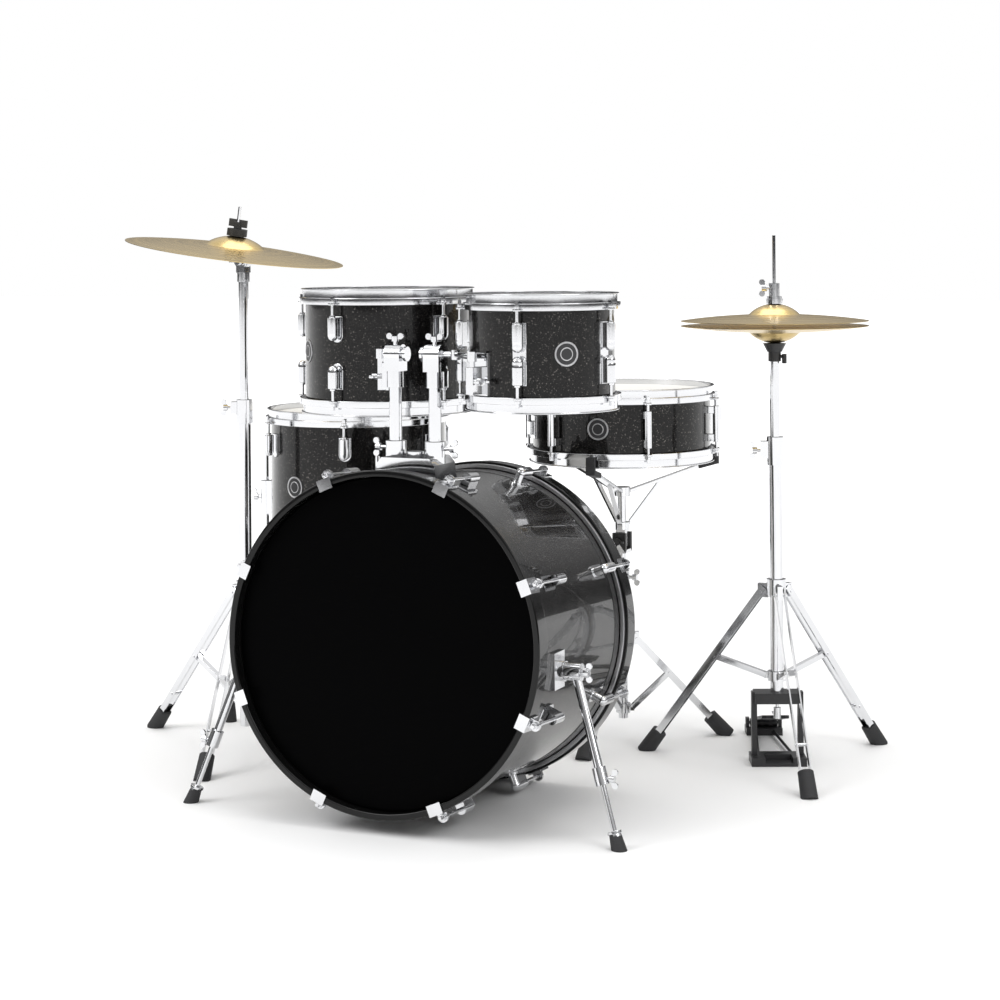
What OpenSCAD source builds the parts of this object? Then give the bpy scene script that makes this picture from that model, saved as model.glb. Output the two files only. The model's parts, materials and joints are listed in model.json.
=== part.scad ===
// Five-drum acoustic kit with hi-hat and crash cymbal, millimetres.
// +Z is up, the floor is z = 0, the bass drum's axis runs along Y and its front head faces -Y.
// The origin is the point on the floor below the middle of the whole kit.

/* [Bass drum] */
// Outside radius of the bass drum shell
bass_r = 279.4; // [230:0.1:340]
// Length of the bass drum shell
bass_len = 406.4; // [340:0.1:490]
// Depth of the wooden hoops
bass_hoop_depth = 38; // [30:1:45]
// Radial thickness of the wooden hoops
bass_hoop_t = 11.5; // [10:0.5:13]
// How far the front of the drum is lifted over its length
bass_lift = 26; // [10:1:30]
// Lugs on each side of the bass drum
bass_lugs_n = 8; // [6:2:10]
// Thickness of the bass drum shell
bass_wall = 7.5; // [6:0.5:10]

/* [Toms] */
// Outside radius of the small tom shell
small_r = 127; // [118:0.5:135]
// Length of the small tom shell
small_len = 178; // [160:1:200]
// Outside radius of the large tom shell
large_r = 152.4; // [140:0.1:160]
// Length of the large tom shell
large_len = 203; // [180:1:215]
// Lugs round each mounted tom
tom_lugs_n = 5; // [5:1:6]
// Height of the small tom's centre above the arms' axis
small_up = 5; // [-10:1:40]
// Height of the large tom's centre above the arms' axis
large_up = -2; // [-10:1:40]

/* [Floor tom] */
// Outside radius of the floor tom shell
floor_r = 178; // [165:1:190]
// Length of the floor tom shell
floor_len = 355; // [300:1:400]
// Height of the floor tom's centre
floor_z = 470; // [440:1:500]
// Lugs round the floor tom
floor_lugs_n = 6; // [6:1:8]
// Radius of a floor tom leg
leg_rod_r = 4.75; // [4:0.25:6]

/* [Snare drum] */
// Outside radius of the snare drum shell
snare_r = 178; // [165:0.1:185]
// Length of the snare drum shell
snare_len = 127; // [100:1:165]
// Height of the snare drum's centre
snare_z = 632; // [620:1:660]
// Lugs round the snare drum
snare_lugs_n = 6; // [6:2:8]

/* [Drum parts] */
// Thickness of the tom, floor tom and snare drum shells
shell_wall = 6; // [5:0.5:8]
// Thickness of a drum head's film
head_t = 1; // [0.6:0.1:1.5]
// Thickness of the sheet that the metal hoops are bent from
hoop_t = 2; // [1.6:0.1:2.5]
// Height of a metal hoop above the head
hoop_rise = 12; // [9:0.5:15]
// Length of a lug
lug_len = 48; // [40:1:54]
// Radius of a lug's round body
lug_r = 9.5; // [8:0.5:11]
// Radius of a tension rod
rod_r = 2.75; // [2.4:0.05:3]

/* [Tom holder] */
// Radius of the tom holder's posts
post_r = 11; // [9.5:0.5:12.5]
// Distance of each post from the drum's middle
post_x = 38; // [34:1:46]
// Distance of the posts in front of the drum's middle
post_y = 80; // [70:1:90]
// Height of the arms' tilt axis above the holder's base
arm_rise = 173.4; // [160:0.1:220]
// Radius of the bent arm rods
arm_r = 5.5; // [5:0.25:6.5]

/* [Stands] */
// Radius of the lower tube of the hi-hat and crash stands
base_tube_r = 12.5; // [11:0.5:14]
// Radius of the sliding upper tubes
upper_tube_r = 9.5; // [8:0.5:10.5]
// Width of a tripod leg strip
strip_w = 21; // [16:1:24]
// Depth of the two strips that make a tripod leg
strip_t = 13; // [11:0.5:14]
// Reach of the hi-hat tripod from its middle to a foot
hihat_reach = 268; // [240:1:290]
// Reach of the crash tripod
crash_reach = 275; // [250:1:300]
// Reach of the snare stand's tripod
snare_reach = 205; // [190:1:225]

/* [Cymbals] */
// Radius of the crash cymbal
crash_r = 216; // [190:1:230]
// Radius of each hi-hat cymbal
hihat_r = 178; // [160:1:180]
// Thickness of the cymbals
cymbal_t = 1.4; // [1:0.1:2]
// Height of the lower edge of the upper hi-hat cymbal
hihat_z = 840; // [830:1:860]
// Gap between the two hi-hat cymbals at their edges
hihat_gap = 8.5; // [6:0.5:20]
// Height of the crash cymbal's bell above the floor
crash_z = 1011; // [960:1:1040]

/* [Fits] */
// Radial clearance of a sliding or turning fit
fit = 0.08; // [0.04:0.01:0.1]
// Radial clearance of a rod in a hoop's ear
rod_clear = 0.4; // [0.3:0.1:0.8]
// Space kept between pieces that move past each other
gap = 0.5; // [0.4:0.1:1]

/* [Hidden] */
$fn = 64;
round_fn = 240;

// The bass drum's place, so that the origin is below the middle of the kit
bass_xy = [82.3, -272.4];

// Places of the drums and stands on the floor, from the bass drum's middle
small_xy = [207, 0];
large_xy = [-145, 105];
floor_xy = [-398, 470];
snare_xy = [127, 600];
hihat_xy = [473, 510];
crash_xy = [-535, 246];

// First lug, bracket and leg directions round each drum, degrees
small_turn = -84.3;
large_turn = -99.3;
floor_turn = -131;
floor_leg_turn = 188;
snare_turn = -54;
strainer_turn = 35.9;
basket_turn = -87.1;
hihat_turn = -61.3;
crash_turn = 163;
snare_stand_turn = -91;

// Bass drum: the rear hoop rests on the floor and the front is lifted
bass_hoop_r = bass_r + 1.8 + bass_hoop_t;
bass_hoop_over = 21.8;
bass_tilt = atan(bass_lift / (bass_len + 2 * bass_hoop_over));
bass_half = bass_len / 2;
bass_rear = bass_half + bass_hoop_over;
bass_z = bass_rear * sin(bass_tilt) + bass_hoop_r * cos(bass_tilt);
bass_step = 360 / bass_lugs_n;
mount_top = bass_z + bass_r + 42;
socket_top = mount_top + 22;
arm_z = mount_top + arm_rise;
small_z = arm_z + small_up;
large_z = arm_z + large_up;
bass_rod_r = 3.2;
bass_rod_at = bass_hoop_r + 9.5;
bass_lug_y = bass_half - 82;

// Drum heads: a film with a collar and a stiff ring
collar = 0.5;
ring_w = 6;
ring_h = 7;
hoop_gap = 1;

// Metal hoops: an upright band, a step and a skirt with ears
band_in = collar + head_t + hoop_gap;
band_out = band_in + hoop_t;
skirt_out = collar + head_t + ring_w + 1 + hoop_t;
step_z = 6;
skirt_drop = 16;
rod_at = skirt_out + 5.2;
ear_r = 7.5;
ear_t = 4;
ear_lift = 0.5;
lug_plate_w = 24;
head_r = 4.6;

// Tom bracket
bracket_out = 22;
socket_t = 7;

// Tom arms: the upright part of each bent rod stands in front of its tom
small_bracket_turn = small_turn - 180 / tom_lugs_n;
large_bracket_turn = large_turn + 180 / tom_lugs_n;
small_rod = small_xy + (small_r + bracket_out) * [cos(small_bracket_turn), sin(small_bracket_turn)];
large_rod = large_xy + (large_r + bracket_out) * [cos(large_bracket_turn), sin(large_bracket_turn)];
arm_drop = 66;

// Spurs
spur_y = 120;
spur_z = bass_z - 29.2;
spur_out = 34;
spur_foot = [bass_r + 127.6, -167];
spur_tube_r = 7.5;
spur_rod_r = 4.5;
spur_root = [bass_r + spur_out, -spur_y, spur_z];
spur_dir = [spur_foot[0] - spur_root[0], spur_foot[1] - spur_root[1], -spur_root[2]];
spur_tube_end = 0.56;
spur_clamp_end = 0.64;

// Stand heights
hihat_pivot_z = 334;
hihat_knee = 125;
hihat_collar_z = 166;
crash_pivot_z = 312;
crash_knee = 145;
crash_collar_z = 92;
snare_pivot_z = 206;
snare_knee = 92;
snare_collar_z = 60;
hihat_joint_z = 594;
crash_joint_z = 668;
snare_joint_z = 330;
snare_tilt_z = 395;
tube_wall = 1.6;
leg_sheet = 2.5;
rivet_r = 3;
brace_w = 11;
seat_z = hihat_z - hihat_gap - 49.6;
bell_h = 20;
bow_h = 12;
bell_share = 0.27;
hole_r = 6;
crash_lean = 8.5;
crash_ball_z = crash_z - 52;
stem_r = 4;
stem_tip = 28;
stem_tip_r = 3.4;
pull_r = 3;
rod_top = 1003;
toe_plate_z = 85;
toe_plate_out = 38;

// Pedal: the footboard runs back and to the left of the stand, towards the player
pedal_turn = 113;
board_len = 250;
board_hinge_z = 22;
board_toe_z = 74;
pedal_base_z = 6;

// ---------- general shapes ----------

module ring(ro, ri, h) {
    difference() {
        cylinder(h = h, r = ro);
        translate([0, 0, -1]) cylinder(h = h + 2, r = ri);
    }
}

// A round bar from point p to point q
module bar(p, q, r, r2 = -1) {
    d = q - p;
    translate(p) rotate([0, acos(d[2] / norm(d)), atan2(d[1], d[0])])
        cylinder(h = norm(d), r1 = r, r2 = r2 < 0 ? r : r2);
}

// A flat bar from p to q, of width w across and thickness t
module strip(p, q, w, t) {
    d = q - p;
    translate(p) rotate([0, acos(d[2] / norm(d)), atan2(d[1], d[0])])
        translate([-t / 2, -w / 2, 0]) cube([t, w, norm(d)]);
}

// Moves what is placed from the bass drum's middle to its place in the kit
module kit() { translate([bass_xy[0], bass_xy[1], 0]) children(); }

module around(n, first) {
    for (k = [0 : n - 1]) rotate([0, 0, first + k * 360 / n]) children();
}

// A bullet: a cylinder of radius r and length h whose lower end is round
module bullet(r, h) {
    steps = 6;
    rotate_extrude()
        polygon(concat([[0, h], [r, h]], [for (k = [0 : steps]) let (a = k * 85 / steps)
            [r * cos(a), r - r * sin(a)]], [[0, 0]]));
}

// Wing screw along +Z: a shank, a hub and two rounded wings
module wing_screw(shank, r = 3.5) {
    cylinder(h = shank, r = r);
    translate([0, 0, shank]) cylinder(h = 9, r = r + 3);
    translate([0, 1.8, shank]) rotate([90, 0, 0]) linear_extrude(height = 3.6)
        for (s = [-1, 1]) {
            translate([s * 11, 9]) circle(r = 5.5, $fn = 24);
            polygon([[0, 1.5], [s * 11, 4.4], [s * 11, 13.6], [s * 3, 7.5], [0, 7.5]]);
        }
}

// ---------- drums, each in its own frame with the axis along Z and the middle at z = 0 ----------

module drum_shell(r, len, wall) {
    translate([0, 0, -len / 2]) ring(r, r - wall, len, $fn = round_fn);
}

// One head with its collar and ring, for the end at +Z
module head_end(r, len) {
    z = len / 2;
    c = r + collar;
    rotate_extrude($fn = round_fn)
        polygon([[0, z], [c, z], [c, z - step_z - ring_h], [c + head_t + ring_w, z - step_z - ring_h],
            [c + head_t + ring_w, z - step_z], [c + head_t, z - step_z], [c + head_t, z + head_t],
            [0, z + head_t]]);
}

module heads(r, len) {
    head_end(r, len);
    mirror([0, 0, 1]) head_end(r, len);
}

// One triple-flanged hoop with its ears
module hoop_end(r, len, n, turn) {
    z = len / 2;
    difference() {
        union() {
            rotate_extrude($fn = round_fn)
                polygon([[r + band_in, z - step_z], [r + skirt_out - hoop_t, z - step_z],
                    [r + skirt_out - hoop_t, z - skirt_drop], [r + skirt_out, z - skirt_drop],
                    [r + skirt_out, z - step_z + hoop_t], [r + band_out, z - step_z + hoop_t],
                    [r + band_out, z + hoop_rise - hoop_t], [r + band_out + 3, z + hoop_rise - hoop_t],
                    [r + band_out + 3, z + hoop_rise], [r + band_in, z + hoop_rise]]);
            around(n, turn)
                difference() {
                    translate([r + rod_at, 0, z - skirt_drop + ear_lift]) cylinder(h = ear_t, r = ear_r);
                    translate([0, 0, z - skirt_drop - 1])
                        cylinder(h = ear_t + 2, r = r + skirt_out - 1, $fn = round_fn);
                }
        }
        around(n, turn) translate([r + rod_at, 0, z - skirt_drop - 1])
            cylinder(h = ear_t + 2, r = rod_r + rod_clear);
    }
}

module hoops(r, len, n, turn) {
    hoop_end(r, len, n, turn);
    mirror([0, 0, 1]) hoop_end(r, len, n, turn);
}

// An upright plate of width w and height h, round at the bottom, that stands out along X by t
module tongue(w, h, t) {
    rotate([90, 0, 90]) linear_extrude(height = t) {
        translate([0, w / 2]) circle(d = w, $fn = 24);
        translate([-w / 2, w / 2]) square([w, h - w / 2]);
    }
}

// One lug for the end at +Z, standing on the shell at x = r
module lug(r, len) {
    top = len / 2 - skirt_drop - 22;
    difference() {
        union() {
            translate([r + rod_at - 1.5, 0, top - lug_len]) bullet(lug_r, lug_len);
            translate([r - 1, -lug_r + 1, top - lug_len + 6]) cube([rod_at, 2 * lug_r - 2, lug_len - 6]);
            translate([r - 1, -lug_plate_w / 2, top - lug_len - 3]) cube([4, lug_plate_w, lug_len + 5]);
        }
        translate([r + rod_at, 0, top - 26]) cylinder(h = 27, r = rod_r + fit);
    }
}

module lugs(r, len, n, turn) {
    difference() {
        union() {
            around(n, turn) lug(r, len);
            mirror([0, 0, 1]) around(n, turn) lug(r, len);
        }
        translate([0, 0, -len / 2]) cylinder(h = len, r = r, $fn = round_fn);
    }
}

module rod_end(r, len, n, turn) {
    z = len / 2 - skirt_drop + ear_lift + ear_t;
    around(n, turn) translate([r + rod_at, 0, 0]) {
        translate([0, 0, z - ear_t - 22 - 24]) cylinder(h = 24 + 22 + ear_t, r = rod_r);
        translate([0, 0, z]) cylinder(h = 5, r = head_r);
        translate([-2.8, -2.8, z + 5]) cube([5.6, 5.6, 7]);
    }
}

module rods(r, len, n, turn) {
    rod_end(r, len, n, turn);
    mirror([0, 0, 1]) rod_end(r, len, n, turn);
}

// Puts a drum's pieces at their place
module small_place() { translate([small_xy[0], small_xy[1], small_z]) children(); }
module large_place() { translate([large_xy[0], large_xy[1], large_z]) children(); }
module floor_place() { translate([floor_xy[0], floor_xy[1], floor_z]) children(); }
module snare_place() { translate([snare_xy[0], snare_xy[1], snare_z]) children(); }

// Bass drum frame: the drum's axis is local Z, and local +Z points to the front head
module bass_place() {
    translate([0, 0, bass_z]) rotate([90 - bass_tilt, 0, 0]) children();
}

// ---------- bass drum ----------

module bass_shell() {
    color("#18181a") kit() difference() {
        bass_place() drum_shell(bass_r, bass_len, bass_wall);
        for (s = [-1, 1]) translate([s * post_x, -post_y, bass_z]) cylinder(h = bass_r + 60, r = post_r + 3);
    }
}

module bass_head_end() {
    z = bass_half;
    c = bass_r + collar;
    inner = z + bass_hoop_over - bass_hoop_depth;
    rotate_extrude($fn = round_fn)
        polygon([[0, z], [c, z], [c, inner - ring_h], [c + 8, inner - ring_h], [c + 8, inner],
            [c + head_t, inner], [c + head_t, z + head_t], [0, z + head_t]]);
}

module bass_heads() {
    color("#0b0b0c") kit() bass_place() bass_head_end();
    color("#e8e6e0") kit() bass_place() mirror([0, 0, 1]) bass_head_end();
}

module bass_hoops() {
    color("#0c0c0d") kit() bass_place() for (m = [0, 1]) mirror([0, 0, m])
        translate([0, 0, bass_half + bass_hoop_over - bass_hoop_depth])
            ring(bass_hoop_r, bass_hoop_r - bass_hoop_t, bass_hoop_depth, $fn = round_fn);
}

// One lug of the bass drum, for the end at +Z
module bass_lug() {
    translate([bass_rod_at, 0, bass_lug_y - 30]) bullet(9, 44);
    translate([bass_r - 2, 0, bass_lug_y - 29.5]) tongue(16.5, 43, bass_rod_at - bass_r);
    translate([bass_r - 2, 0, bass_lug_y - 34]) tongue(26, 50, 5);
}

module bass_lugs() {
    color("silver") kit() bass_place() difference() {
        union() {
            around(bass_lugs_n, bass_step / 2) bass_lug();
            mirror([0, 0, 1]) around(bass_lugs_n, bass_step / 2) bass_lug();
        }
        around(bass_lugs_n, bass_step / 2) {
            translate([bass_rod_at, 0, bass_lug_y - 12]) cylinder(h = 30, r = bass_rod_r + fit);
            translate([bass_rod_at, 0, -bass_lug_y - 18]) cylinder(h = 30, r = bass_rod_r + fit);
        }
        translate([0, 0, -bass_half]) cylinder(h = bass_len, r = bass_r, $fn = round_fn);
    }
}

module bass_tension_rods() {
    color("silver") kit() bass_place() for (m = [0, 1]) mirror([0, 0, m]) around(bass_lugs_n, bass_step / 2)
        translate([bass_rod_at, 0, 0]) {
            translate([0, 0, bass_lug_y - 10]) cylinder(h = bass_rear - 18 - bass_lug_y + 10, r = bass_rod_r);
            translate([0, 0, bass_rear - 18]) cylinder(h = 6, r = 6);
            translate([-3, -3, bass_rear - 12]) cube([6, 6, 7]);
        }
}

// A bent claw that hooks over a hoop, with an ear for its rod
module claw() {
    w = 26;
    difference() {
        union() {
            translate([bass_hoop_r - bass_hoop_t - 5, -w / 2, bass_rear]) cube([bass_hoop_t + 8, w, 3]);
            translate([bass_hoop_r, -w / 2, bass_rear - 34]) cube([3, w, 37]);
            translate([bass_hoop_r + 1, -9, bass_rear - 24]) cube([7, 18, 6]);
            translate([bass_rod_at, 0, bass_rear - 24]) cylinder(h = 6, r = 9);
        }
        translate([bass_rod_at, 0, bass_rear - 26]) cylinder(h = 10, r = bass_rod_r + rod_clear);
        translate([0, 0, bass_rear - 35]) cylinder(h = 35, r = bass_hoop_r, $fn = round_fn);
    }
}

module bass_claws() {
    color("silver") kit() bass_place() for (m = [0, 1]) mirror([0, 0, m])
        around(bass_lugs_n, bass_step / 2) claw();
}

// ---------- spurs ----------

function along(t) = spur_root + t * spur_dir;

module bass_spur_brackets() {
    color("silver") kit() difference() {
        for (s = [0, 1]) mirror([s, 0, 0]) {
            translate([bass_r - 8, -spur_y - 22, spur_z - 30]) cube([14, 44, 62]);
            translate([bass_r + 4, -spur_y, spur_z]) rotate([0, 90, 0]) cylinder(h = 13, r = 17);
            translate([bass_r + 4, -spur_y, spur_z]) rotate([0, 90, 0]) cylinder(h = 44, r = 4);
            translate([bass_r + 46, -spur_y, spur_z]) rotate([0, 90, 0]) wing_screw(4, 5);
        }
        bass_place() translate([0, 0, -bass_half]) cylinder(h = bass_len, r = bass_r, $fn = round_fn);
    }
}

// Right spur: an eye that turns on the bracket's bolt, a tube and a clamp with its wing screw
module spur_shape() {
    difference() {
        union() {
            translate([bass_r + 17 + gap, -spur_y, spur_z]) rotate([0, 90, 0]) cylinder(h = 28, r = 15);
            difference() {
                bar(along(0.02), along(spur_tube_end), spur_tube_r);
                translate([bass_r, -spur_y, spur_z]) rotate([0, 90, 0]) cylinder(h = 17 + gap, r = 30);
            }
            bar(along(spur_tube_end - 0.02), along(spur_clamp_end), spur_tube_r + 4);
            translate(along(spur_clamp_end - 0.04)) rotate([0, 90, 0]) wing_screw(15, 3);
        }
        translate([bass_r, -spur_y, spur_z]) rotate([0, 90, 0]) cylinder(h = 60, r = 4 + fit);
        bar(along(0.18), along(1), spur_rod_r + fit);
    }
}

// The rod that slides in a spur, with its washer and rubber tip
module spur_tip_shape() {
    difference() {
        union() {
            bar(along(0.36), along(0.97), spur_rod_r);
            bar(along(0.895), along(0.91), 12);
            bar(along(0.91), along(1.03), 10, 14);
        }
        translate([200, -400, -60]) cube([400, 400, 60]);
    }
}

module right_spur() { color("silver") kit() spur_shape(); }
module left_spur() { color("silver") kit() mirror([1, 0, 0]) spur_shape(); }
module right_spur_tip() { color("#222222") kit() spur_tip_shape(); }
module left_spur_tip() { color("#222222") kit() mirror([1, 0, 0]) spur_tip_shape(); }

// ---------- tom holder ----------

module tom_mount_base() {
    color("silver") kit() difference() {
        union() {
            translate([0, -post_y + 42, 0]) rotate([90, 0, 0]) linear_extrude(height = 84)
                polygon([[-62, mount_top - 60], [62, mount_top - 60], [56, mount_top - 16],
                    [46, mount_top - 4], [-46, mount_top - 4], [-56, mount_top - 16]]);
            for (s = [-1, 1]) translate([s * post_x, -post_y, mount_top - 50])
                cylinder(h = socket_top - mount_top + 50, r = post_r + socket_t);
            translate([0, -post_y, mount_top - 8]) cylinder(h = 12, r = 15);
        }
        bass_place() translate([0, 0, -bass_half]) cylinder(h = bass_len, r = bass_r, $fn = round_fn);
        for (s = [-1, 1]) {
            translate([s * post_x, -post_y, mount_top - 120]) cylinder(h = 200, r = post_r + fit);
            translate([s * (post_x + post_r + 2), -post_y, mount_top + 10]) rotate([0, s * 90, 0])
                cylinder(h = 30, r = 3.5 + fit);
        }
    }
}

module tom_mount_screws() {
    color("silver") kit() for (s = [-1, 1])
        translate([s * (post_x + post_r + 2), -post_y, mount_top + 10]) rotate([0, s * 90, 0]) wing_screw(16);
}

// A post with a block at its top that the arm's shaft turns in; s is -1 left and 1 right
module tom_post(s) {
    difference() {
        union() {
            translate([s * post_x, -post_y, mount_top - 86])
                cylinder(h = arm_z - mount_top + 86, r = post_r);
            translate([s * post_x, -post_y, arm_z - 58]) cylinder(h = 34, r = post_r + 4);
            translate([s * post_x - 15, -post_y - 16, arm_z - 30]) cube([30, 32, 32]);
            translate([s * post_x - 15, -post_y, arm_z]) rotate([0, 90, 0]) cylinder(h = 30, r = 17);
            translate([s * post_x, -post_y, arm_z + 10]) wing_screw(12);
        }
        translate([s * post_x - 40, -post_y, arm_z]) rotate([0, 90, 0]) cylinder(h = 80, r = 8 + fit);
    }
}

module left_tom_post() { color("silver") kit() tom_post(-1); }
module right_tom_post() { color("silver") kit() tom_post(1); }

// The bent arm: a thick shaft in the post's block, then a rod to the bracket and down into it
module tom_arm(s, rod, elbow_out) {
    elbow = [s * (post_x + elbow_out), -post_y, arm_z];
    corner = [rod[0], rod[1], arm_z];
    start = [s * post_x - s * 19, -post_y, arm_z];
    bar(start, [s * post_x + s * 17, -post_y, arm_z], 8);
    bar([s * post_x + s * 15.5, -post_y, arm_z], elbow, arm_r);
    arm_knuckle(elbow);
    bar(elbow, corner, arm_r);
    arm_knuckle(corner);
    bar(corner, [rod[0], rod[1], arm_z - arm_drop], arm_r);
    bar(start, start - [s * 5, 0, 0], 13);
}

module arm_knuckle(p) { translate(p) cylinder(h = 2 * arm_r + 6, r = arm_r + 3, center = true); }

module left_tom_arm() { color("silver") kit() tom_arm(-1, large_rod, 28.6); }
module right_tom_arm() { color("silver") kit() tom_arm(1, small_rod, 40); }

// A cast bracket on a tom's shell with an upright bore for the arm and a wing screw
module tom_bracket(r, turn, z, side) {
    rotate([0, 0, turn]) difference() {
        union() {
            translate([r - 2, -19, z - 45]) cube([6, 38, 73]);
            translate([r + 2, -11, z - 42]) cube([bracket_out - 2, 22, 46]);
            translate([r + bracket_out, 0, z - 42]) cylinder(h = 46, r = 13, $fn = 6);
            translate([r + bracket_out, side * 6, z - 20]) rotate([-side * 90, 0, 0]) wing_screw(14);
        }
        translate([r + bracket_out, 0, z - 60]) cylinder(h = 80, r = arm_r + fit);
        translate([0, 0, z - 80]) cylinder(h = 160, r = r, $fn = round_fn);
    }
}

// ---------- mounted toms ----------

module small_tom_shell() { color("#18181a") kit() small_place() drum_shell(small_r, small_len, shell_wall); }
module small_tom_heads() { color("#f2f1ec") kit() small_place() heads(small_r, small_len); }
module small_tom_hoops() {
    color("silver") kit() small_place() hoops(small_r, small_len, tom_lugs_n, small_turn);
}
module small_tom_fittings() {
    color("silver") kit() small_place() {
        lugs(small_r, small_len, tom_lugs_n, small_turn);
        tom_bracket(small_r, small_bracket_turn, arm_z - small_z - 22, 1);
    }
}
module small_tom_rods() {
    color("silver") kit() small_place() rods(small_r, small_len, tom_lugs_n, small_turn);
}

module large_tom_shell() { color("#18181a") kit() large_place() drum_shell(large_r, large_len, shell_wall); }
module large_tom_heads() { color("#f2f1ec") kit() large_place() heads(large_r, large_len); }
module large_tom_hoops() {
    color("silver") kit() large_place() hoops(large_r, large_len, tom_lugs_n, large_turn);
}
module large_tom_fittings() {
    color("silver") kit() large_place() {
        lugs(large_r, large_len, tom_lugs_n, large_turn);
        tom_bracket(large_r, large_bracket_turn, arm_z - large_z - 22, -1);
    }
}
module large_tom_rods() {
    color("silver") kit() large_place() rods(large_r, large_len, tom_lugs_n, large_turn);
}

// ---------- floor tom ----------

leg_at = floor_r + 24;
leg_top = floor_z + floor_len / 2 - 70;
leg_foot_at = leg_at + 84;

module floor_tom_shell() { color("#18181a") kit() floor_place() drum_shell(floor_r, floor_len, shell_wall); }
module floor_tom_heads() { color("#f2f1ec") kit() floor_place() heads(floor_r, floor_len); }
module floor_tom_hoops() {
    color("silver") kit() floor_place() hoops(floor_r, floor_len, floor_lugs_n, floor_turn);
}
module floor_tom_lugs() {
    color("silver") kit() floor_place() lugs(floor_r, floor_len, floor_lugs_n, floor_turn);
}
module floor_tom_rods() {
    color("silver") kit() floor_place() rods(floor_r, floor_len, floor_lugs_n, floor_turn);
}

module floor_tom_brackets() {
    color("silver") kit() floor_place() difference() {
        around(3, floor_leg_turn) {
            translate([floor_r - 2, -15, -40]) cube([6, 30, 80]);
            translate([floor_r + 2, -11, -34]) cube([20, 22, 68]);
            translate([leg_at, 0, -34]) cylinder(h = 68, r = 12);
            translate([leg_at + 8, 0, 0]) rotate([0, 90, 0]) wing_screw(10);
        }
        around(3, floor_leg_turn) translate([leg_at, 0, -50]) cylinder(h = 100, r = leg_rod_r + fit);
        translate([0, 0, -60]) cylinder(h = 120, r = floor_r, $fn = round_fn);
    }
}

module floor_tom_legs() {
    color("silver") kit() translate([floor_xy[0], floor_xy[1], 0]) around(3, floor_leg_turn) {
        bar([leg_at, 0, 150], [leg_at, 0, leg_top], leg_rod_r);
        translate([leg_at, 0, 150]) sphere(r = leg_rod_r + 0.4);
        bar([leg_at, 0, 150], [leg_foot_at, 0, 80], leg_rod_r);
        translate([leg_foot_at, 0, 80]) sphere(r = leg_rod_r + 0.4);
        bar([leg_foot_at, 0, 80], [leg_foot_at, 0, 12], leg_rod_r);
    }
}

// ---------- snare drum ----------

module snare_shell() { color("#18181a") kit() snare_place() drum_shell(snare_r, snare_len, shell_wall); }
module snare_heads() { color("#f2f1ec") kit() snare_place() heads(snare_r, snare_len); }
module snare_hoops() {
    color("silver") kit() snare_place() hoops(snare_r, snare_len, snare_lugs_n, snare_turn);
}

// Tube lugs: one bar on two posts takes the rods of both ends
module snare_lugs() {
    half = snare_len / 2 - skirt_drop - 12;
    color("silver") kit() snare_place() difference() {
        around(snare_lugs_n, snare_turn) {
            translate([snare_r + rod_at, 0, -half]) cylinder(h = 2 * half, r = 7);
            for (s = [-1, 1]) translate([snare_r - 2, -7, s * (half - 8) - 7]) cube([rod_at - 2, 14, 14]);
        }
        around(snare_lugs_n, snare_turn) translate([snare_r + rod_at, 0, -half - 1])
            cylinder(h = 2 * half + 2, r = rod_r + fit);
        translate([0, 0, -snare_len / 2]) cylinder(h = snare_len, r = snare_r, $fn = round_fn);
    }
}

module snare_rods() {
    z = snare_len / 2 - skirt_drop + ear_lift + ear_t;
    color("silver") kit() snare_place() for (m = [0, 1]) mirror([0, 0, m])
        around(snare_lugs_n, snare_turn) translate([snare_r + rod_at, 0, 0]) {
            translate([0, 0, z - 34]) cylinder(h = 34, r = rod_r);
            translate([0, 0, z]) cylinder(h = 5, r = head_r);
            translate([-2.8, -2.8, z + 5]) cube([5.6, 5.6, 7]);
        }
}

lever_at = snare_r + 20;
lever_z = 14;

// The strainer's body with a pivot for the lever, and the butt plate opposite
module snare_strainer() {
    color("silver") kit() snare_place() difference() {
        union() {
            rotate([0, 0, strainer_turn]) {
                translate([snare_r - 2, -16, -34]) cube([6, 32, 62]);
                translate([snare_r + 2, -12, -30]) cube([12, 24, 34]);
                for (s = [-1, 1]) translate([snare_r + 2, s * 9 - 2.5, 0]) cube([26, 5, 26]);
                translate([lever_at, -14, lever_z]) rotate([-90, 0, 0]) cylinder(h = 28, r = 3);
                translate([snare_r + 8, 0, -34]) cylinder(h = 6, r = 6);
            }
            rotate([0, 0, strainer_turn + 180]) {
                translate([snare_r - 2, -16, -28]) cube([6, 32, 46]);
                translate([snare_r + 2, -14, -20]) cube([11, 28, 26]);
            }
        }
        translate([0, 0, -60]) cylinder(h = 120, r = snare_r, $fn = round_fn);
    }
}

module snare_lever() {
    color("silver") kit() snare_place() rotate([0, 0, strainer_turn]) difference() {
        union() {
            translate([lever_at, -6, lever_z]) rotate([-90, 0, 0]) cylinder(h = 12, r = 6);
            translate([lever_at - 3, -5, lever_z]) cube([7, 10, 44]);
        }
        translate([lever_at, -20, lever_z]) rotate([-90, 0, 0]) cylinder(h = 40, r = 3 + fit);
    }
}

// Snare wires: two end plates and the wires between them, under the lower head
module snare_wires() {
    z = -snare_len / 2 - head_t - 3;
    color("silver") kit() snare_place() rotate([0, 0, strainer_turn]) {
        for (s = [-1, 1]) translate([s * 140 - 10, -22, z]) cube([20, 44, 1.4]);
        for (k = [-9 : 9]) translate([-134, k * 2.2 - 0.6, z + 1.4]) cube([268, 1.2, 1.2]);
    }
}

// ---------- snare stand ----------

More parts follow.
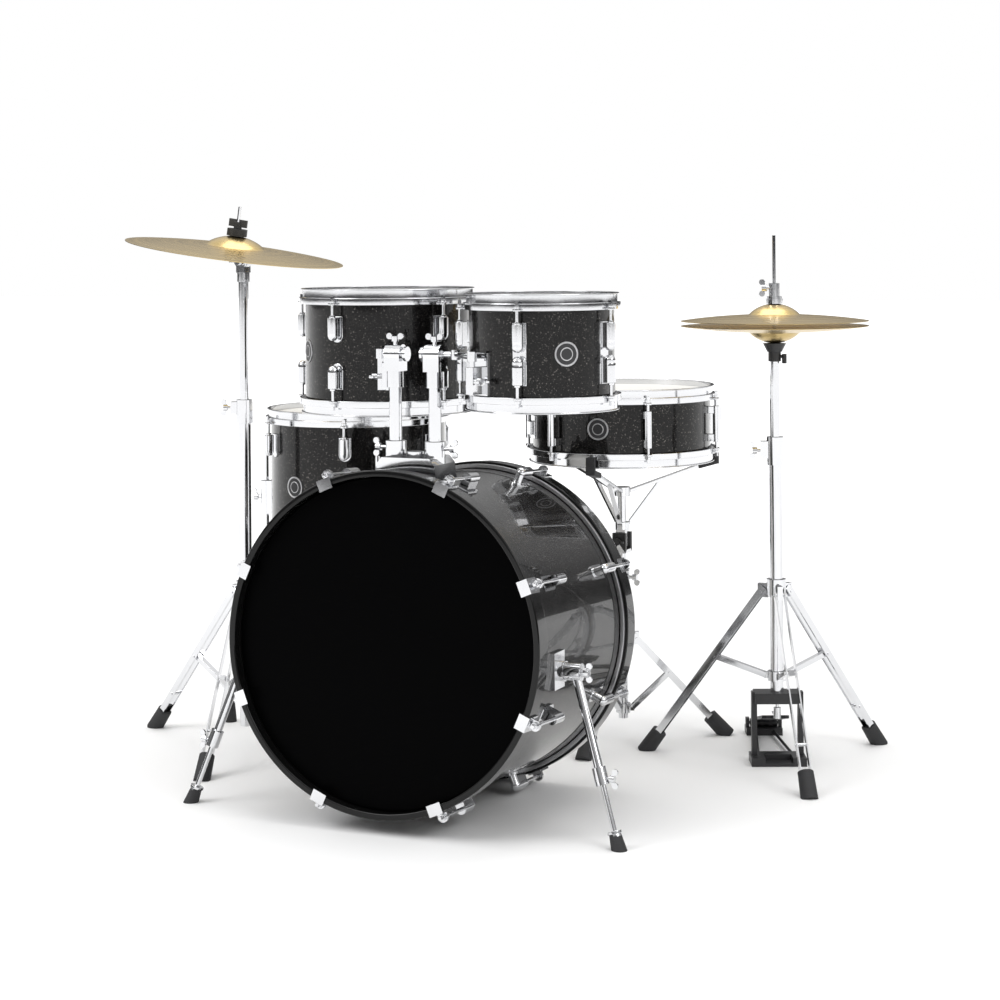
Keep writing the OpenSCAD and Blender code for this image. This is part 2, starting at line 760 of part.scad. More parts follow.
module snare_stand_base() {
    color("silver") kit() translate([snare_xy[0], snare_xy[1], 0]) {
        tripod(snare_stand_turn, snare_pivot_z, snare_knee, snare_collar_z, snare_reach, 9.5);
        difference() {
            union() {
                translate([0, 0, snare_collar_z - 20]) cylinder(h = snare_joint_z - snare_collar_z + 20, r = 9.5);
                translate([0, 0, snare_joint_z - 26]) cylinder(h = 34, r = 15);
            }
            translate([0, 0, snare_collar_z - 21]) cylinder(h = 400, r = 7.5 + fit);
        }
        translate([14, 0, snare_joint_z - 8]) rotate([0, 90, 0]) wing_screw(8);
    }
}

module snare_stand_post() {
    color("#1c1c1e") kit() translate([snare_xy[0], snare_xy[1], 0]) {
        translate([0, 0, snare_joint_z - 100]) cylinder(h = snare_tilt_z - snare_joint_z + 84, r = 7.5);
        for (s = [-1, 1]) translate([-14, s * 15 - 4, snare_tilt_z - 18]) cube([28, 8, 34]);
        translate([-14, -19, snare_tilt_z - 24]) cube([28, 38, 7]);
        translate([0, -24, snare_tilt_z]) rotate([-90, 0, 0]) cylinder(h = 48, r = 4);
        translate([0, -24, snare_tilt_z]) rotate([90, 0, 0]) wing_screw(2, 4);
    }
}

basket_z = 493;
hook_r = snare_r + skirt_out + 2;
hook_z = snare_z - snare_len / 2 - hoop_rise;

// The basket: a tube that tilts on the post, a hub, three arms with braces, and rubber hooks
module snare_basket() {
    color("silver") kit() translate([snare_xy[0], snare_xy[1], 0]) {
        difference() {
            union() {
                translate([-10, -10.5, snare_tilt_z - 11]) cube([20, 21, 34]);
                translate([0, 0, snare_tilt_z + 10]) cylinder(h = basket_z - snare_tilt_z - 4, r = 8.5);
                translate([0, 0, basket_z - 9]) cylinder(h = 18, r = 17);
                translate([0, 0, snare_tilt_z + 22]) cylinder(h = 15, r = 15);
            }
            translate([0, -40, snare_tilt_z]) rotate([-90, 0, 0]) cylinder(h = 80, r = 4 + fit);
        }
        around(3, basket_turn) {
            difference() {
                strip([12, 0, basket_z], [hook_r - 34, 0, hook_z - 16], 14, 6);
                translate([0, 0, basket_z - 30]) cylinder(h = 60, r = 17.1);
            }
            difference() {
                strip([10, 0, snare_tilt_z + 30], [80, 0, basket_z + 22], 9, 5);
                translate([0, 0, snare_tilt_z]) cylinder(h = 60, r = 15.1);
                strip([12, 0, basket_z], [hook_r - 34, 0, hook_z - 16], 16, 6.2);
                translate([0, -20, basket_z + 24]) cube([200, 40, 60]);
            }
        }
    }
    color("#161616") kit() translate([snare_xy[0], snare_xy[1], 0]) around(3, basket_turn) {
        strip([hook_r - 33.6, 0, hook_z - 16], [hook_r + 4, 0, hook_z - 7], 18, 10);
        translate([hook_r, -9, hook_z - 12]) cube([8, 18, 34]);
    }
}

// ---------- tripods ----------

// Collar, three legs and three braces; knee is how far out the brace's rivet is on the leg
function leg_point(tube_r, pivot_z, foot_in, x) =
    [x, 0, pivot_z + (x - tube_r - 10) * (30 - pivot_z) / (foot_in - tube_r - 10)];

module tripod(turn, pivot_z, knee, collar_z, reach, tube_r) {
    foot_in = reach - 22;
    pin = leg_point(tube_r, pivot_z, foot_in, tube_r + 17);
    rivet = leg_point(tube_r, pivot_z, foot_in, knee);
    difference() {
        union() {
            translate([0, 0, pivot_z - 14]) cylinder(h = 30, r = tube_r + 6);
            translate([0, 0, collar_z - 9]) cylinder(h = 18, r = tube_r + 5);
            around(3, turn) {
                translate([tube_r + 2, -5, pivot_z - 20]) cube([21, 10, 26]);
                translate([tube_r + 2, -4, collar_z - 6]) cube([10, 8, 12]);
            }
        }
        translate([0, 0, -10]) cylinder(h = 1000, r = tube_r);
        around(3, turn) translate(pin) rotate([-90, 0, 0])
            cylinder(h = 40, r = rivet_r + fit, center = true);
    }
    around(3, turn) {
        leg_pair([tube_r + 10, 0, pivot_z], [foot_in, 0, 30], [pin, rivet]);
        difference() {
            strip([tube_r + 8, 0, collar_z], rivet + 0.06 * (rivet - [tube_r + 8, 0, collar_z]), brace_w, 10);
            translate([tube_r - 2, -4.3, collar_z - 20]) cube([14.5, 8.6, 40]);
            translate(rivet) rotate([-90, 0, 0]) cylinder(h = 40, r = rivet_r + fit, center = true);
        }
    }
}

// A leg of two strips side by side, held by the pivot's pin, the brace's rivet and a spacer rivet
module leg_pair(top, low, pins) {
    for (s = [-1, 1]) translate([0, s * (strip_w - leg_sheet) / 2, 0]) strip(top, low, leg_sheet, strip_t);
    for (p = concat(pins, [top + 0.83 * (low - top)]))
        translate(p) rotate([-90, 0, 0]) cylinder(h = strip_w + 3, r = rivet_r, center = true);
}

module stand_foot(reach, pivot_z, tube_r) {
    foot_in = reach - 22;
    top = [tube_r + 10, 0, pivot_z];
    low = [foot_in, 0, 30];
    d = (low - top) / norm(low - top);
    difference() {
        bar(low - 12 * d, low + 42 * d, 14.5, 16);
        strip(top, low, strip_w + 0.6, strip_t + 0.6);
        translate([0, -50, -60]) cube([reach + 100, 100, 60]);
    }
}

module rubber_feet() {
    color("#141414") kit() {
        translate([hihat_xy[0], hihat_xy[1], 0]) around(3, hihat_turn)
            stand_foot(hihat_reach, hihat_pivot_z, base_tube_r);
        translate([crash_xy[0], crash_xy[1], 0]) around(3, crash_turn)
            stand_foot(crash_reach, crash_pivot_z, base_tube_r);
        translate([snare_xy[0], snare_xy[1], 0]) around(3, snare_stand_turn)
            stand_foot(snare_reach, snare_pivot_z, 9.5);
        translate([floor_xy[0], floor_xy[1], 0]) around(3, floor_leg_turn) translate([leg_foot_at, 0, 0])
            difference() {
                cylinder(h = 42, r1 = 13, r2 = 9);
                translate([0, 0, 12]) cylinder(h = 40, r = leg_rod_r + 0.05);
            }
    }
}

// ---------- cymbals ----------

function bow(r, big) = bow_h * (1 - pow(r / big, 2));
function bell(r, big) = r < bell_share * big ? bell_h * pow(1 - pow(r / (bell_share * big), 2), 0.8) : 0;
function cymbal_z(r, big) = bow(r, big) + bell(r, big);

module cymbal(big) {
    steps = 22;
    rs = [for (k = [0 : steps]) hole_r + (big - hole_r) * k / steps];
    rotate_extrude($fn = 96)
        polygon(concat([for (r = rs) [r, cymbal_z(r, big)]],
            [for (k = [steps : -1 : 0]) [rs[k], cymbal_z(rs[k], big) + cymbal_t]]));
}

// ---------- hi-hat ----------

module hihat_place() { translate([hihat_xy[0], hihat_xy[1], 0]) children(); }

module hihat_base() {
    color("silver") kit() hihat_place() {
        tripod(hihat_turn, hihat_pivot_z, hihat_knee, hihat_collar_z, hihat_reach, base_tube_r);
        difference() {
            union() {
                translate([0, 0, hihat_collar_z - 30])
                    cylinder(h = hihat_joint_z - hihat_collar_z + 30, r = base_tube_r);
                translate([0, 0, hihat_joint_z - 27]) cylinder(h = 53, r = base_tube_r + 4);
                rotate([0, 0, 200]) translate([base_tube_r, -9, hihat_joint_z - 14]) cube([16, 18, 32]);
            }
            translate([0, 0, hihat_collar_z - 31]) cylinder(h = 700, r = upper_tube_r + fit);
        }
        rotate([0, 0, 200]) translate([base_tube_r + 16, 0, hihat_joint_z]) rotate([0, 90, 0]) wing_screw(6);
    }
}

module hihat_upper_tube() {
    color("silver") kit() hihat_place() translate([0, 0, hihat_joint_z - 160])
        ring(upper_tube_r, upper_tube_r - tube_wall - 2, seat_z - hihat_joint_z + 160 - 18);
}

// The seat: a black cup on the tube that the lower cymbal rests on, with its tilt screw
module hihat_seat() {
    color("#161616") kit() hihat_place() {
        difference() {
            union() {
                translate([0, 0, seat_z - 18]) cylinder(h = 18, r = 12);
                translate([0, 0, seat_z]) cylinder(h = 16, r1 = 14, r2 = 22);
            }
            translate([0, 0, seat_z - 30]) cylinder(h = 60, r = pull_r + 3);
        }
        translate([12, 0, seat_z - 9]) rotate([0, 90, 0]) cylinder(h = 10, r = 3);
        translate([19, 0, seat_z - 22]) cylinder(h = 18, r = 4.5);
    }
}

module hihat_bottom_cymbal() {
    color("#c9a24a") kit() hihat_place() translate([0, 0, hihat_z - hihat_gap]) mirror([0, 0, 1]) cymbal(hihat_r);
}

module hihat_top_cymbal() {
    color("#c9a24a") kit() hihat_place() translate([0, 0, hihat_z]) cymbal(hihat_r);
}

module hihat_pull_rod() {
    color("silver") kit() hihat_place() {
        translate([0, 0, hihat_collar_z - 62]) cylinder(h = rod_top - hihat_collar_z + 62, r = pull_r);
        translate([0, 0, toe_plate_z - 0.5]) cylinder(h = hihat_collar_z - 60 - toe_plate_z, r = 7);
        rotate([0, 0, pedal_turn]) translate([5, -6, toe_plate_z]) cube([toe_plate_out, 12, 4]);
    }
}

bell_top = hihat_z + cymbal_z(hole_r, hihat_r) + cymbal_t;

// Two felts round the bell, a sleeve, lock nuts and the clutch's wing screw
module hihat_clutch() {
    color("silver") kit() hihat_place() difference() {
        union() {
            translate([0, 0, bell_top + 9]) cylinder(h = 30, r = 10);
            translate([0, 0, bell_top + 9]) cylinder(h = 5, r = 14);
            translate([0, 0, bell_top - 14]) cylinder(h = 24, r = 5.4);
            rotate([0, 0, 190]) translate([9, 0, bell_top + 30]) rotate([0, 90, 0]) wing_screw(5);
        }
        translate([0, 0, bell_top - 40]) cylinder(h = 120, r = pull_r + fit);
    }
    color("#2a2a2a") kit() hihat_place() {
        translate([0, 0, bell_top]) ring(16, 5.5, 9);
        translate([0, 0, bell_top - 14]) ring(12, 5.5, 10);
    }
}

// ---------- pedal ----------

module pedal_place() { hihat_place() rotate([0, 0, pedal_turn]) children(); }

// A black U-shaped frame under the stand, two posts, a base plate and two radius rods
module hihat_pedal_frame() {
    color("#161616") kit() pedal_place() {
        difference() {
            union() {
                translate([-24, -44, hihat_collar_z - 50]) cube([48, 88, 20]);
                for (s = [-1, 1]) translate([-9, s * 44 - 5, 12]) cube([18, 10, hihat_collar_z - 42]);
                translate([-34, -52, 0]) cube([60, 104, 16]);
            }
            translate([0, 0, hihat_collar_z - 60]) cylinder(h = 60, r = 9);
            translate([-60, -26, 6]) cube([60, 52, 12]);
        }
        for (s = [-1, 1]) bar([20, s * 34, 8], [board_len - 20, s * 18, 8], 3);
        difference() {
            translate([board_len - 22, -36, 0]) cube([44, 72, 14]);
            translate([board_len, -29, 0]) cube([30, 58, 60]);
        }
        for (s = [-1, 1]) translate([board_len - 8, s * 32.5 - 3.5, 12]) cube([16, 7, 20]);
        translate([board_len, -36, board_hinge_z]) rotate([-90, 0, 0]) cylinder(h = 72, r = 3);
    }
}

// The footboard with its toe link to the pull rod
module hihat_footboard() {
    rise = atan((board_toe_z - board_hinge_z) / (board_len - 30));
    color("#2b2b2d") kit() pedal_place() difference() {
        union() {
            translate([board_len, 0, board_hinge_z]) rotate([0, rise, 0])
                translate([-board_len + 22, -26, 3.5]) cube([board_len - 28, 52, 6]);
            translate([board_len, -27, board_hinge_z]) rotate([-90, 0, 0]) cylinder(h = 54, r = 8);
        }
        translate([board_len, -60, board_hinge_z]) rotate([-90, 0, 0]) cylinder(h = 120, r = 3 + fit);
    }
}

// ---------- crash ----------

module crash_place() { translate([crash_xy[0], crash_xy[1], 0]) children(); }

module crash_base() {
    color("silver") kit() crash_place() {
        tripod(crash_turn, crash_pivot_z, crash_knee, crash_collar_z, crash_reach, base_tube_r);
        difference() {
            union() {
                translate([0, 0, crash_collar_z - 50])
                    cylinder(h = crash_joint_z - crash_collar_z + 50, r = base_tube_r);
                translate([0, 0, crash_joint_z - 28]) cylinder(h = 46, r = base_tube_r + 4);
                rotate([0, 0, 200]) translate([base_tube_r, -9, crash_joint_z - 10]) cube([14, 18, 24]);
            }
            translate([0, 0, crash_collar_z - 51]) cylinder(h = 800, r = upper_tube_r + fit);
        }
        rotate([0, 0, 200]) translate([base_tube_r + 14, 0, crash_joint_z + 2]) rotate([0, 90, 0])
            wing_screw(6);
    }
}

// The upper tube ends in two cheeks that hold the tilter
module crash_upper_tube() {
    color("silver") kit() crash_place() {
        translate([0, 0, crash_joint_z - 170])
            cylinder(h = crash_ball_z - crash_joint_z + 170 - 14, r = upper_tube_r);
        translate([0, 0, crash_ball_z - 40]) cylinder(h = 20, r = upper_tube_r + 2.5);
        for (s = [-1, 1]) {
            translate([-9, s * 10 - 3, crash_ball_z - 22]) cube([18, 6, 22]);
            translate([0, s * 10 - 3, crash_ball_z]) rotate([-90, 0, 0]) cylinder(h = 6, r = 13);
        }
        translate([0, -16, crash_ball_z]) rotate([-90, 0, 0]) cylinder(h = 32, r = 4);
        translate([0, -14, crash_ball_z]) rotate([90, 0, 0]) wing_screw(2, 4);
    }
}

crash_rod_xy = [-22, 0];

module tilter_place() {
    crash_place() translate([0, 0, crash_ball_z]) rotate([0, crash_lean, 0]) children();
}

// The tilter: a toothed disc between the cheeks, an arm and the threaded stem with its lower seat
module crash_tilter() {
    color("silver") kit() tilter_place() difference() {
        union() {
            translate([0, -6.5, 0]) rotate([-90, 0, 0]) cylinder(h = 13, r = 14);
            strip([-8, 0, 6], [crash_rod_xy[0], 0, 22], 13, 10);
            translate([crash_rod_xy[0], 0, 14]) cylinder(h = 16, r = 8);
            translate([crash_rod_xy[0], 0, 22]) cylinder(h = 56, r = stem_r);
            translate([crash_rod_xy[0], 0, 78]) cylinder(h = stem_tip, r = stem_tip_r);
            translate([crash_rod_xy[0], 0, 30]) cylinder(h = 6, r = 12);
        }
        translate([0, -20, 0]) rotate([-90, 0, 0]) cylinder(h = 40, r = 4 + fit);
    }
}

crash_seat = 36;
felt_h = 10;

module crash_cymbal() {
    color("#c9a24a") kit() tilter_place()
        translate([crash_rod_xy[0], 0, crash_seat + felt_h - cymbal_z(hole_r, crash_r)]) cymbal(crash_r);
}

// The felts above and below the cymbal and the wing nut on the stem
module crash_wing_nut() {
    top = crash_seat + felt_h + cymbal_t;
    color("#222222") kit() tilter_place() translate([crash_rod_xy[0], 0, 0]) {
        translate([0, 0, crash_seat]) ring(15, stem_r + fit, felt_h - 1.8);
        translate([0, 0, top + 0.6]) ring(20, stem_r + fit, 14);
    }
    color("silver") kit() tilter_place() translate([crash_rod_xy[0], 0, top + 14.6]) difference() {
        union() {
            cylinder(h = 14, r = 8);
            translate([-20, -2.5, 4]) cube([40, 5, 15]);
        }
        translate([0, 0, -1]) cylinder(h = 30, r = stem_r + fit);
    }
}

// ---------- the kit ----------

bass_shell();
bass_heads();
bass_hoops();
bass_lugs();
bass_tension_rods();
bass_claws();
bass_spur_brackets();
left_spur();
right_spur();
left_spur_tip();
right_spur_tip();
tom_mount_base();
tom_mount_screws();
left_tom_post();
right_tom_post();
left_tom_arm();
right_tom_arm();
small_tom_shell();
small_tom_heads();
small_tom_hoops();
small_tom_fittings();
small_tom_rods();
large_tom_shell();
large_tom_heads();
large_tom_hoops();
large_tom_fittings();
large_tom_rods();
floor_tom_shell();
floor_tom_heads();
floor_tom_hoops();
floor_tom_lugs();
floor_tom_rods();
floor_tom_brackets();
floor_tom_legs();
snare_shell();
snare_heads();
snare_hoops();
snare_lugs();
snare_rods();
snare_strainer();
snare_lever();
snare_wires();
snare_stand_base();
snare_stand_post();
snare_basket();
hihat_base();
hihat_upper_tube();
hihat_seat();
hihat_pull_rod();
hihat_clutch();
hihat_top_cymbal();
hihat_bottom_cymbal();
hihat_pedal_frame();
hihat_footboard();
crash_base();
crash_upper_tube();
crash_tilter();
crash_cymbal();
crash_wing_nut();
rubber_feet();
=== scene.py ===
"""Looks for a five-drum acoustic kit with hi-hat and crash cymbal.

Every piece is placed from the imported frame, in metres. Run as a script, it builds the whole kit;
its operators can also be called one at a time from the panel in the 3D view's sidebar.
"""

import json
import math

import bmesh
import bpy
from bpy.props import FloatProperty, FloatVectorProperty, IntProperty, PointerProperty
from mathutils import Matrix, Vector


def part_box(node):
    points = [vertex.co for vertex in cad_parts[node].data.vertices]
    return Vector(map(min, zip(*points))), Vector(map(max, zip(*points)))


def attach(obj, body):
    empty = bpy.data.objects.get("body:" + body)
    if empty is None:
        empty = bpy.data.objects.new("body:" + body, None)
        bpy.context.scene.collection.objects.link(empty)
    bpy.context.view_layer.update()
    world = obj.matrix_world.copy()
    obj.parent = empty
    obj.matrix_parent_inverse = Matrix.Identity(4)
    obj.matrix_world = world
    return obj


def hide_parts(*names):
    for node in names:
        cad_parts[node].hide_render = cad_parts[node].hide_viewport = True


bl_info = {
    "name": "Acoustic drum kit",
    "version": (1, 0, 0),
    "blender": (4, 5, 0),
    "location": "View3D > Sidebar > Drum kit",
    "description": "Builds the finished pieces of an acoustic drum kit on its packed frame",
    "category": "Object",
}

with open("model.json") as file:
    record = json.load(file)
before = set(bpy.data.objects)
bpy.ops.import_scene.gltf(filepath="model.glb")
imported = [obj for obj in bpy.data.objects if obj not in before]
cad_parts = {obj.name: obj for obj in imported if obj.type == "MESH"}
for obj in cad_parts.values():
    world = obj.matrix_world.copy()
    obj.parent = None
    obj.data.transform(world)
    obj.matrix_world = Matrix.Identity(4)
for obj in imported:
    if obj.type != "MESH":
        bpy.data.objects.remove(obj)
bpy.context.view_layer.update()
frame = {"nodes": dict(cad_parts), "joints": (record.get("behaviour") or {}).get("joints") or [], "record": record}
MM = 0.001
BODY_OF = {node: body for body, nodes in frame["record"]["behaviour"]["bodies"].items() for node in nodes}

# Each drum: its lugs, the direction of the first one, the direction of its badge in degrees, and
# how far the badge is above the middle
DRUMS = {
    "small_tom": (5, -84.3, -48.3, 0.0),
    "large_tom": (5, -99.3, -135.3, 0.0),
    "floor_tom": (6, -131.0, -108.0, 40 * MM),
    "snare": (6, -54.0, -84.1, 0.0),
}


# ---------- sizes and colours that a user may change ----------


class KitSizes(bpy.types.PropertyGroup):
    """Sizes of the visible pieces that the frame doesn't give."""

    steps: IntProperty(name="Steps", description="Segments round a drum or a cymbal", default=160, min=48)
    shell_wall: FloatProperty(name="Shell wall", description="Wall of the tom and snare shells",
                              default=6 * MM, unit="LENGTH")
    bass_wall: FloatProperty(name="Bass shell wall", description="Wall of the bass drum shell",
                             default=7.5 * MM, unit="LENGTH")
    film: FloatProperty(name="Head film", description="Thickness of a drum head",
                        default=1 * MM, unit="LENGTH")
    hoop_rise: FloatProperty(name="Hoop rise", description="Height of a metal hoop above its head",
                             default=12 * MM, unit="LENGTH")
    bass_tilt: FloatProperty(name="Bass drum tilt", description="How far the bass drum leans back",
                             default=math.radians(3.3073), subtype="ANGLE")
    badge: FloatProperty(name="Badge radius", description="Radius of the plain ring badges",
                         default=21 * MM, unit="LENGTH")
    edge: FloatProperty(name="Edge", description="Width of the eased edges of metal pieces",
                        default=0.6 * MM, unit="LENGTH")


class KitColours(bpy.types.PropertyGroup):
    wrap: FloatVectorProperty(name="Wrap", description="Ground of the sparkle wrap", subtype="COLOR",
                              default=(0.0022, 0.0021, 0.0021))
    flake: FloatVectorProperty(name="Flake", description="Flakes in the sparkle wrap", subtype="COLOR",
                               default=(0.30, 0.28, 0.26))
    lacquer: FloatVectorProperty(name="Lacquer", description="Lacquered bass drum hoops", subtype="COLOR",
                                 default=(0.0025, 0.0025, 0.0025))
    chrome: FloatVectorProperty(name="Chrome", description="Chrome plate", subtype="COLOR",
                                default=(0.74, 0.745, 0.76))
    bronze: FloatVectorProperty(name="Bronze", description="Cymbals", subtype="COLOR",
                                default=(0.80, 0.60, 0.27))
    film: FloatVectorProperty(name="Film", description="Coated drum heads", subtype="COLOR",
                              default=(0.80, 0.79, 0.76))


class StageSettings(bpy.types.PropertyGroup):
    """Camera and floor."""

    eye: FloatVectorProperty(name="Camera", description="Place of the camera", subtype="TRANSLATION",
                             default=(1.7673, -3.8024, 0.998))
    heading: FloatProperty(name="Heading", description="Turn of the camera to the left of +Y",
                           default=math.radians(23.87), subtype="ANGLE")
    roll: FloatProperty(name="Roll", description="Roll of the camera",
                        default=math.radians(-0.41), subtype="ANGLE")
    lens: FloatProperty(name="Lens", description="Focal length in millimetres", default=79.2)
    shift: FloatProperty(name="Shift", description="Vertical shift of the lens", default=-0.26)
    side_shift: FloatProperty(name="Side shift", description="Sideways shift of the lens", default=0.003)
    floor: FloatVectorProperty(name="Floor", description="Floor colour", subtype="COLOR",
                               default=(0.90, 0.90, 0.90))


def sizes():
    return bpy.context.scene.kit_sizes


def colours():
    return bpy.context.scene.kit_colours


# ---------- finishes ----------


class Wave:
    """A number that varies over a surface. Arithmetic on it adds Math nodes."""

    def __init__(self, finish, socket):
        self.finish = finish
        self.socket = socket

    def apply(self, operation, *others, swap=False):
        values = [self.socket] + [o.socket if isinstance(o, Wave) else o for o in others]
        if swap:
            values.reverse()
        node = self.finish.node("ShaderNodeMath", {"operation": operation}, dict(enumerate(values)))
        return Wave(self.finish, node.outputs[0])

    def __add__(self, other):
        return self.apply("ADD", other)

    __radd__ = __add__

    def __mul__(self, other):
        return self.apply("MULTIPLY", other)

    __rmul__ = __mul__

    def __sub__(self, other):
        return self.apply("SUBTRACT", other)

    def __rsub__(self, other):
        return self.apply("SUBTRACT", other, swap=True)

    def __gt__(self, other):
        return self.apply("GREATER_THAN", other)

    def sine(self):
        return self.apply("SINE")

    def power(self, other):
        return self.apply("POWER", other)


class Finish:
    """One procedural material, built round a Principled shader."""

    def __init__(self, name, **constants):
        self.material = bpy.data.materials.new(name)
        self.material.use_nodes = True
        self.tree = self.material.node_tree
        self.tree.nodes.clear()
        out = self.tree.nodes.new("ShaderNodeOutputMaterial")
        self.shader = self.tree.nodes.new("ShaderNodeBsdfPrincipled")
        self.tree.links.new(self.shader.outputs[0], out.inputs["Surface"])
        for key, value in constants.items():
            self.shader.inputs[key.replace("_", " ")].default_value = value
        self.coords = self.tree.nodes.new("ShaderNodeTexCoord").outputs["Object"]

    def node(self, kind, settings=None, sockets=None):
        """A node with its settings first, then a value or a link for each named socket."""
        node = self.tree.nodes.new(kind)
        for key, value in (settings or {}).items():
            if key == "stops":
                for k, (place, colour) in enumerate(value):
                    ramp = node.color_ramp.elements
                    stop = ramp[k] if k < 2 else ramp.new(place)
                    stop.position, stop.color = place, (*colour, 1)
            else:
                setattr(node, key, value)
        for key, value in (sockets or {}).items():
            if isinstance(value, Wave):
                value = value.socket
            if isinstance(value, bpy.types.NodeSocket):
                self.tree.links.new(value, node.inputs[key])
            else:
                node.inputs[key].default_value = value
        return node

    def moved(self, place=(0, 0, 0), turn=(0, 0, 0), stretch=(1, 1, 1)):
        """Coordinates seen from a place on the piece."""
        node = self.node("ShaderNodeMapping", {"vector_type": "TEXTURE"},
                         {"Vector": self.coords, "Location": place, "Rotation": turn, "Scale": stretch})
        return node.outputs[0]

    def noise(self, scale, detail=3.0, where=None):
        node = self.node("ShaderNodeTexNoise", None,
                         {"Vector": where or self.coords, "Scale": scale, "Detail": detail})
        return Wave(self, node.outputs["Fac"])

    def cells(self, scale, where=None):
        """A random number for each small cell."""
        node = self.node("ShaderNodeTexVoronoi", None, {"Vector": where or self.coords, "Scale": scale})
        split = self.node("ShaderNodeSeparateColor", None, {0: node.outputs["Color"]})
        return Wave(self, split.outputs[0]), Wave(self, split.outputs[1])

    def radius(self, where):
        flat = self.node("ShaderNodeVectorMath", {"operation": "MULTIPLY"}, {0: where, 1: (1, 1, 0)})
        node = self.node("ShaderNodeVectorMath", {"operation": "LENGTH"}, {0: flat.outputs[0]})
        return Wave(self, node.outputs["Value"])

    def axis(self, index, where=None):
        node = self.node("ShaderNodeSeparateXYZ", None, {0: where or self.coords})
        return Wave(self, node.outputs[index])

    def blend(self, mask, low, high):
        node = self.node("ShaderNodeMix", {"data_type": "RGBA"}, {"Factor": mask, 6: low, 7: high})
        return node.outputs[2]

    def set(self, key, value):
        if isinstance(value, Wave):
            value = value.socket
        self.tree.links.new(value, self.shader.inputs[key])

    def bump(self, height, distance, strength=1.0):
        node = self.node("ShaderNodeBump", None,
                         {"Height": height, "Distance": distance, "Strength": strength})
        self.set("Normal", node.outputs[0])


def opaque(colour):
    return (*colour, 1)


def shade(colour, amount):
    return (colour[0] * amount, colour[1] * amount, colour[2] * amount, 1)


def sparkle_wrap():
    f = Finish("sparkle_wrap", Coat_Weight=1.0, Coat_Roughness=0.03, Coat_IOR=1.27, Specular_IOR_Level=0.1)
    pick, tone = f.cells(620)
    fine, fine_tone = f.cells(1500)
    flake = (pick > 0.955) * 0.8 + (fine > 0.93) * 0.3
    ground = f.blend(f.noise(9, 2.0), opaque(colours().wrap), shade(colours().wrap, 2.2))
    lit = f.blend(tone, shade(colours().flake, 0.35), opaque(colours().flake))
    f.set("Base Color", f.blend(flake * (fine_tone * 0.5 + 0.5), ground, lit))
    f.set("Metallic", flake)
    f.set("Roughness", f.noise(30, 2.0) * 0.1 + 0.2)
    f.bump(pick, 0.00003, 0.25)
    return f.material


def lacquer():
    f = Finish("hoop_lacquer", Coat_Weight=1.0, Coat_Roughness=0.04, Coat_IOR=1.27, Specular_IOR_Level=0.1)
    grain = f.noise(60, 4.0, f.moved(stretch=(1, 6, 1)))
    f.set("Base Color", f.blend(grain, opaque(colours().lacquer), shade(colours().lacquer, 2.5)))
    f.set("Roughness", grain * 0.12 + 0.16)
    f.bump(grain, 0.00005, 0.6)
    return f.material


def maple():
    f = Finish("shell_maple")
    grain = f.noise(40, 5.0, f.moved(stretch=(8, 8, 1)))
    f.set("Base Color", f.blend(grain, (0.36, 0.21, 0.10, 1), (0.58, 0.40, 0.22, 1)))
    f.set("Roughness", grain * 0.2 + 0.4)
    f.bump(grain, 0.0001, 0.5)
    return f.material


def chrome():
    f = Finish("chrome_plate", Metallic=1.0)
    haze = f.noise(22, 3.0)
    f.set("Base Color", f.blend(haze, shade(colours().chrome, 0.9), opaque(colours().chrome)))
    f.set("Roughness", haze * 0.09 + 0.045)
    f.bump(f.noise(160, 2.0), 0.00002, 0.25)
    return f.material


def brushed_steel():
    f = Finish("brushed_steel", Metallic=1.0)
    lines = f.noise(500, 3.0, f.moved(stretch=(1, 1, 14)))
    f.set("Base Color", f.blend(lines, (0.42, 0.42, 0.43, 1), (0.62, 0.62, 0.63, 1)))
    f.set("Roughness", lines * 0.2 + 0.22)
    f.bump(lines, 0.00003, 0.4)
    return f.material


def coated_film(name, colour, rough, gloss=0.35):
    """Sprayed coating: fine grit and a faint cloudy tone."""
    f = Finish(name, Coat_Weight=0.0, Specular_IOR_Level=gloss)
    cloud = f.noise(7, 4.0)
    f.set("Base Color", f.blend(cloud, shade(colour, 0.88), opaque(colour)))
    f.set("Roughness", f.noise(50, 2.0) * 0.15 + rough)
    f.bump(f.noise(1400, 2.0), 0.00005, 0.5)
    return f.material


def bronze(name, centre, lean):
    """Lathed bronze: rings of tool marks round the cymbal's own axis, and faint hammer marks."""
    f = Finish(name, Metallic=1.0)
    own = f.moved(centre, (0, lean, 0))
    r = f.radius(own)
    rings = f.node("ShaderNodeCombineXYZ", None, {0: r})
    broad = f.noise(95, 3.0, rings.outputs[0])
    fine = f.noise(900, 2.0, rings.outputs[0])
    hammer = f.node("ShaderNodeTexVoronoi", {"feature": "SMOOTH_F1"}, {"Vector": own, "Scale": 55})
    tone = f.blend(broad, shade(colours().bronze, 0.62), opaque(colours().bronze))
    f.set("Base Color", f.blend(fine * 0.35, tone, shade(colours().bronze, 0.45)))
    f.set("Roughness", broad * 0.14 + fine * 0.12 + 0.13)
    groove = (r * (2 * math.pi / 0.0021)).sine()
    f.bump(groove * 0.5 + fine + Wave(f, hammer.outputs["Distance"]) * 2.5, 0.00012, 0.55)
    return f.material


def rubber():
    f = Finish("black_rubber")
    dust = f.noise(35, 4.0)
    f.set("Base Color", f.blend(dust, (0.010, 0.010, 0.011, 1), (0.034, 0.034, 0.036, 1)))
    f.set("Roughness", dust * 0.2 + 0.58)
    ribs = (f.axis(2) * (2 * math.pi / 0.004)).sine()
    f.bump(ribs * 0.4 + f.noise(700, 2.0), 0.0002, 0.5)
    return f.material


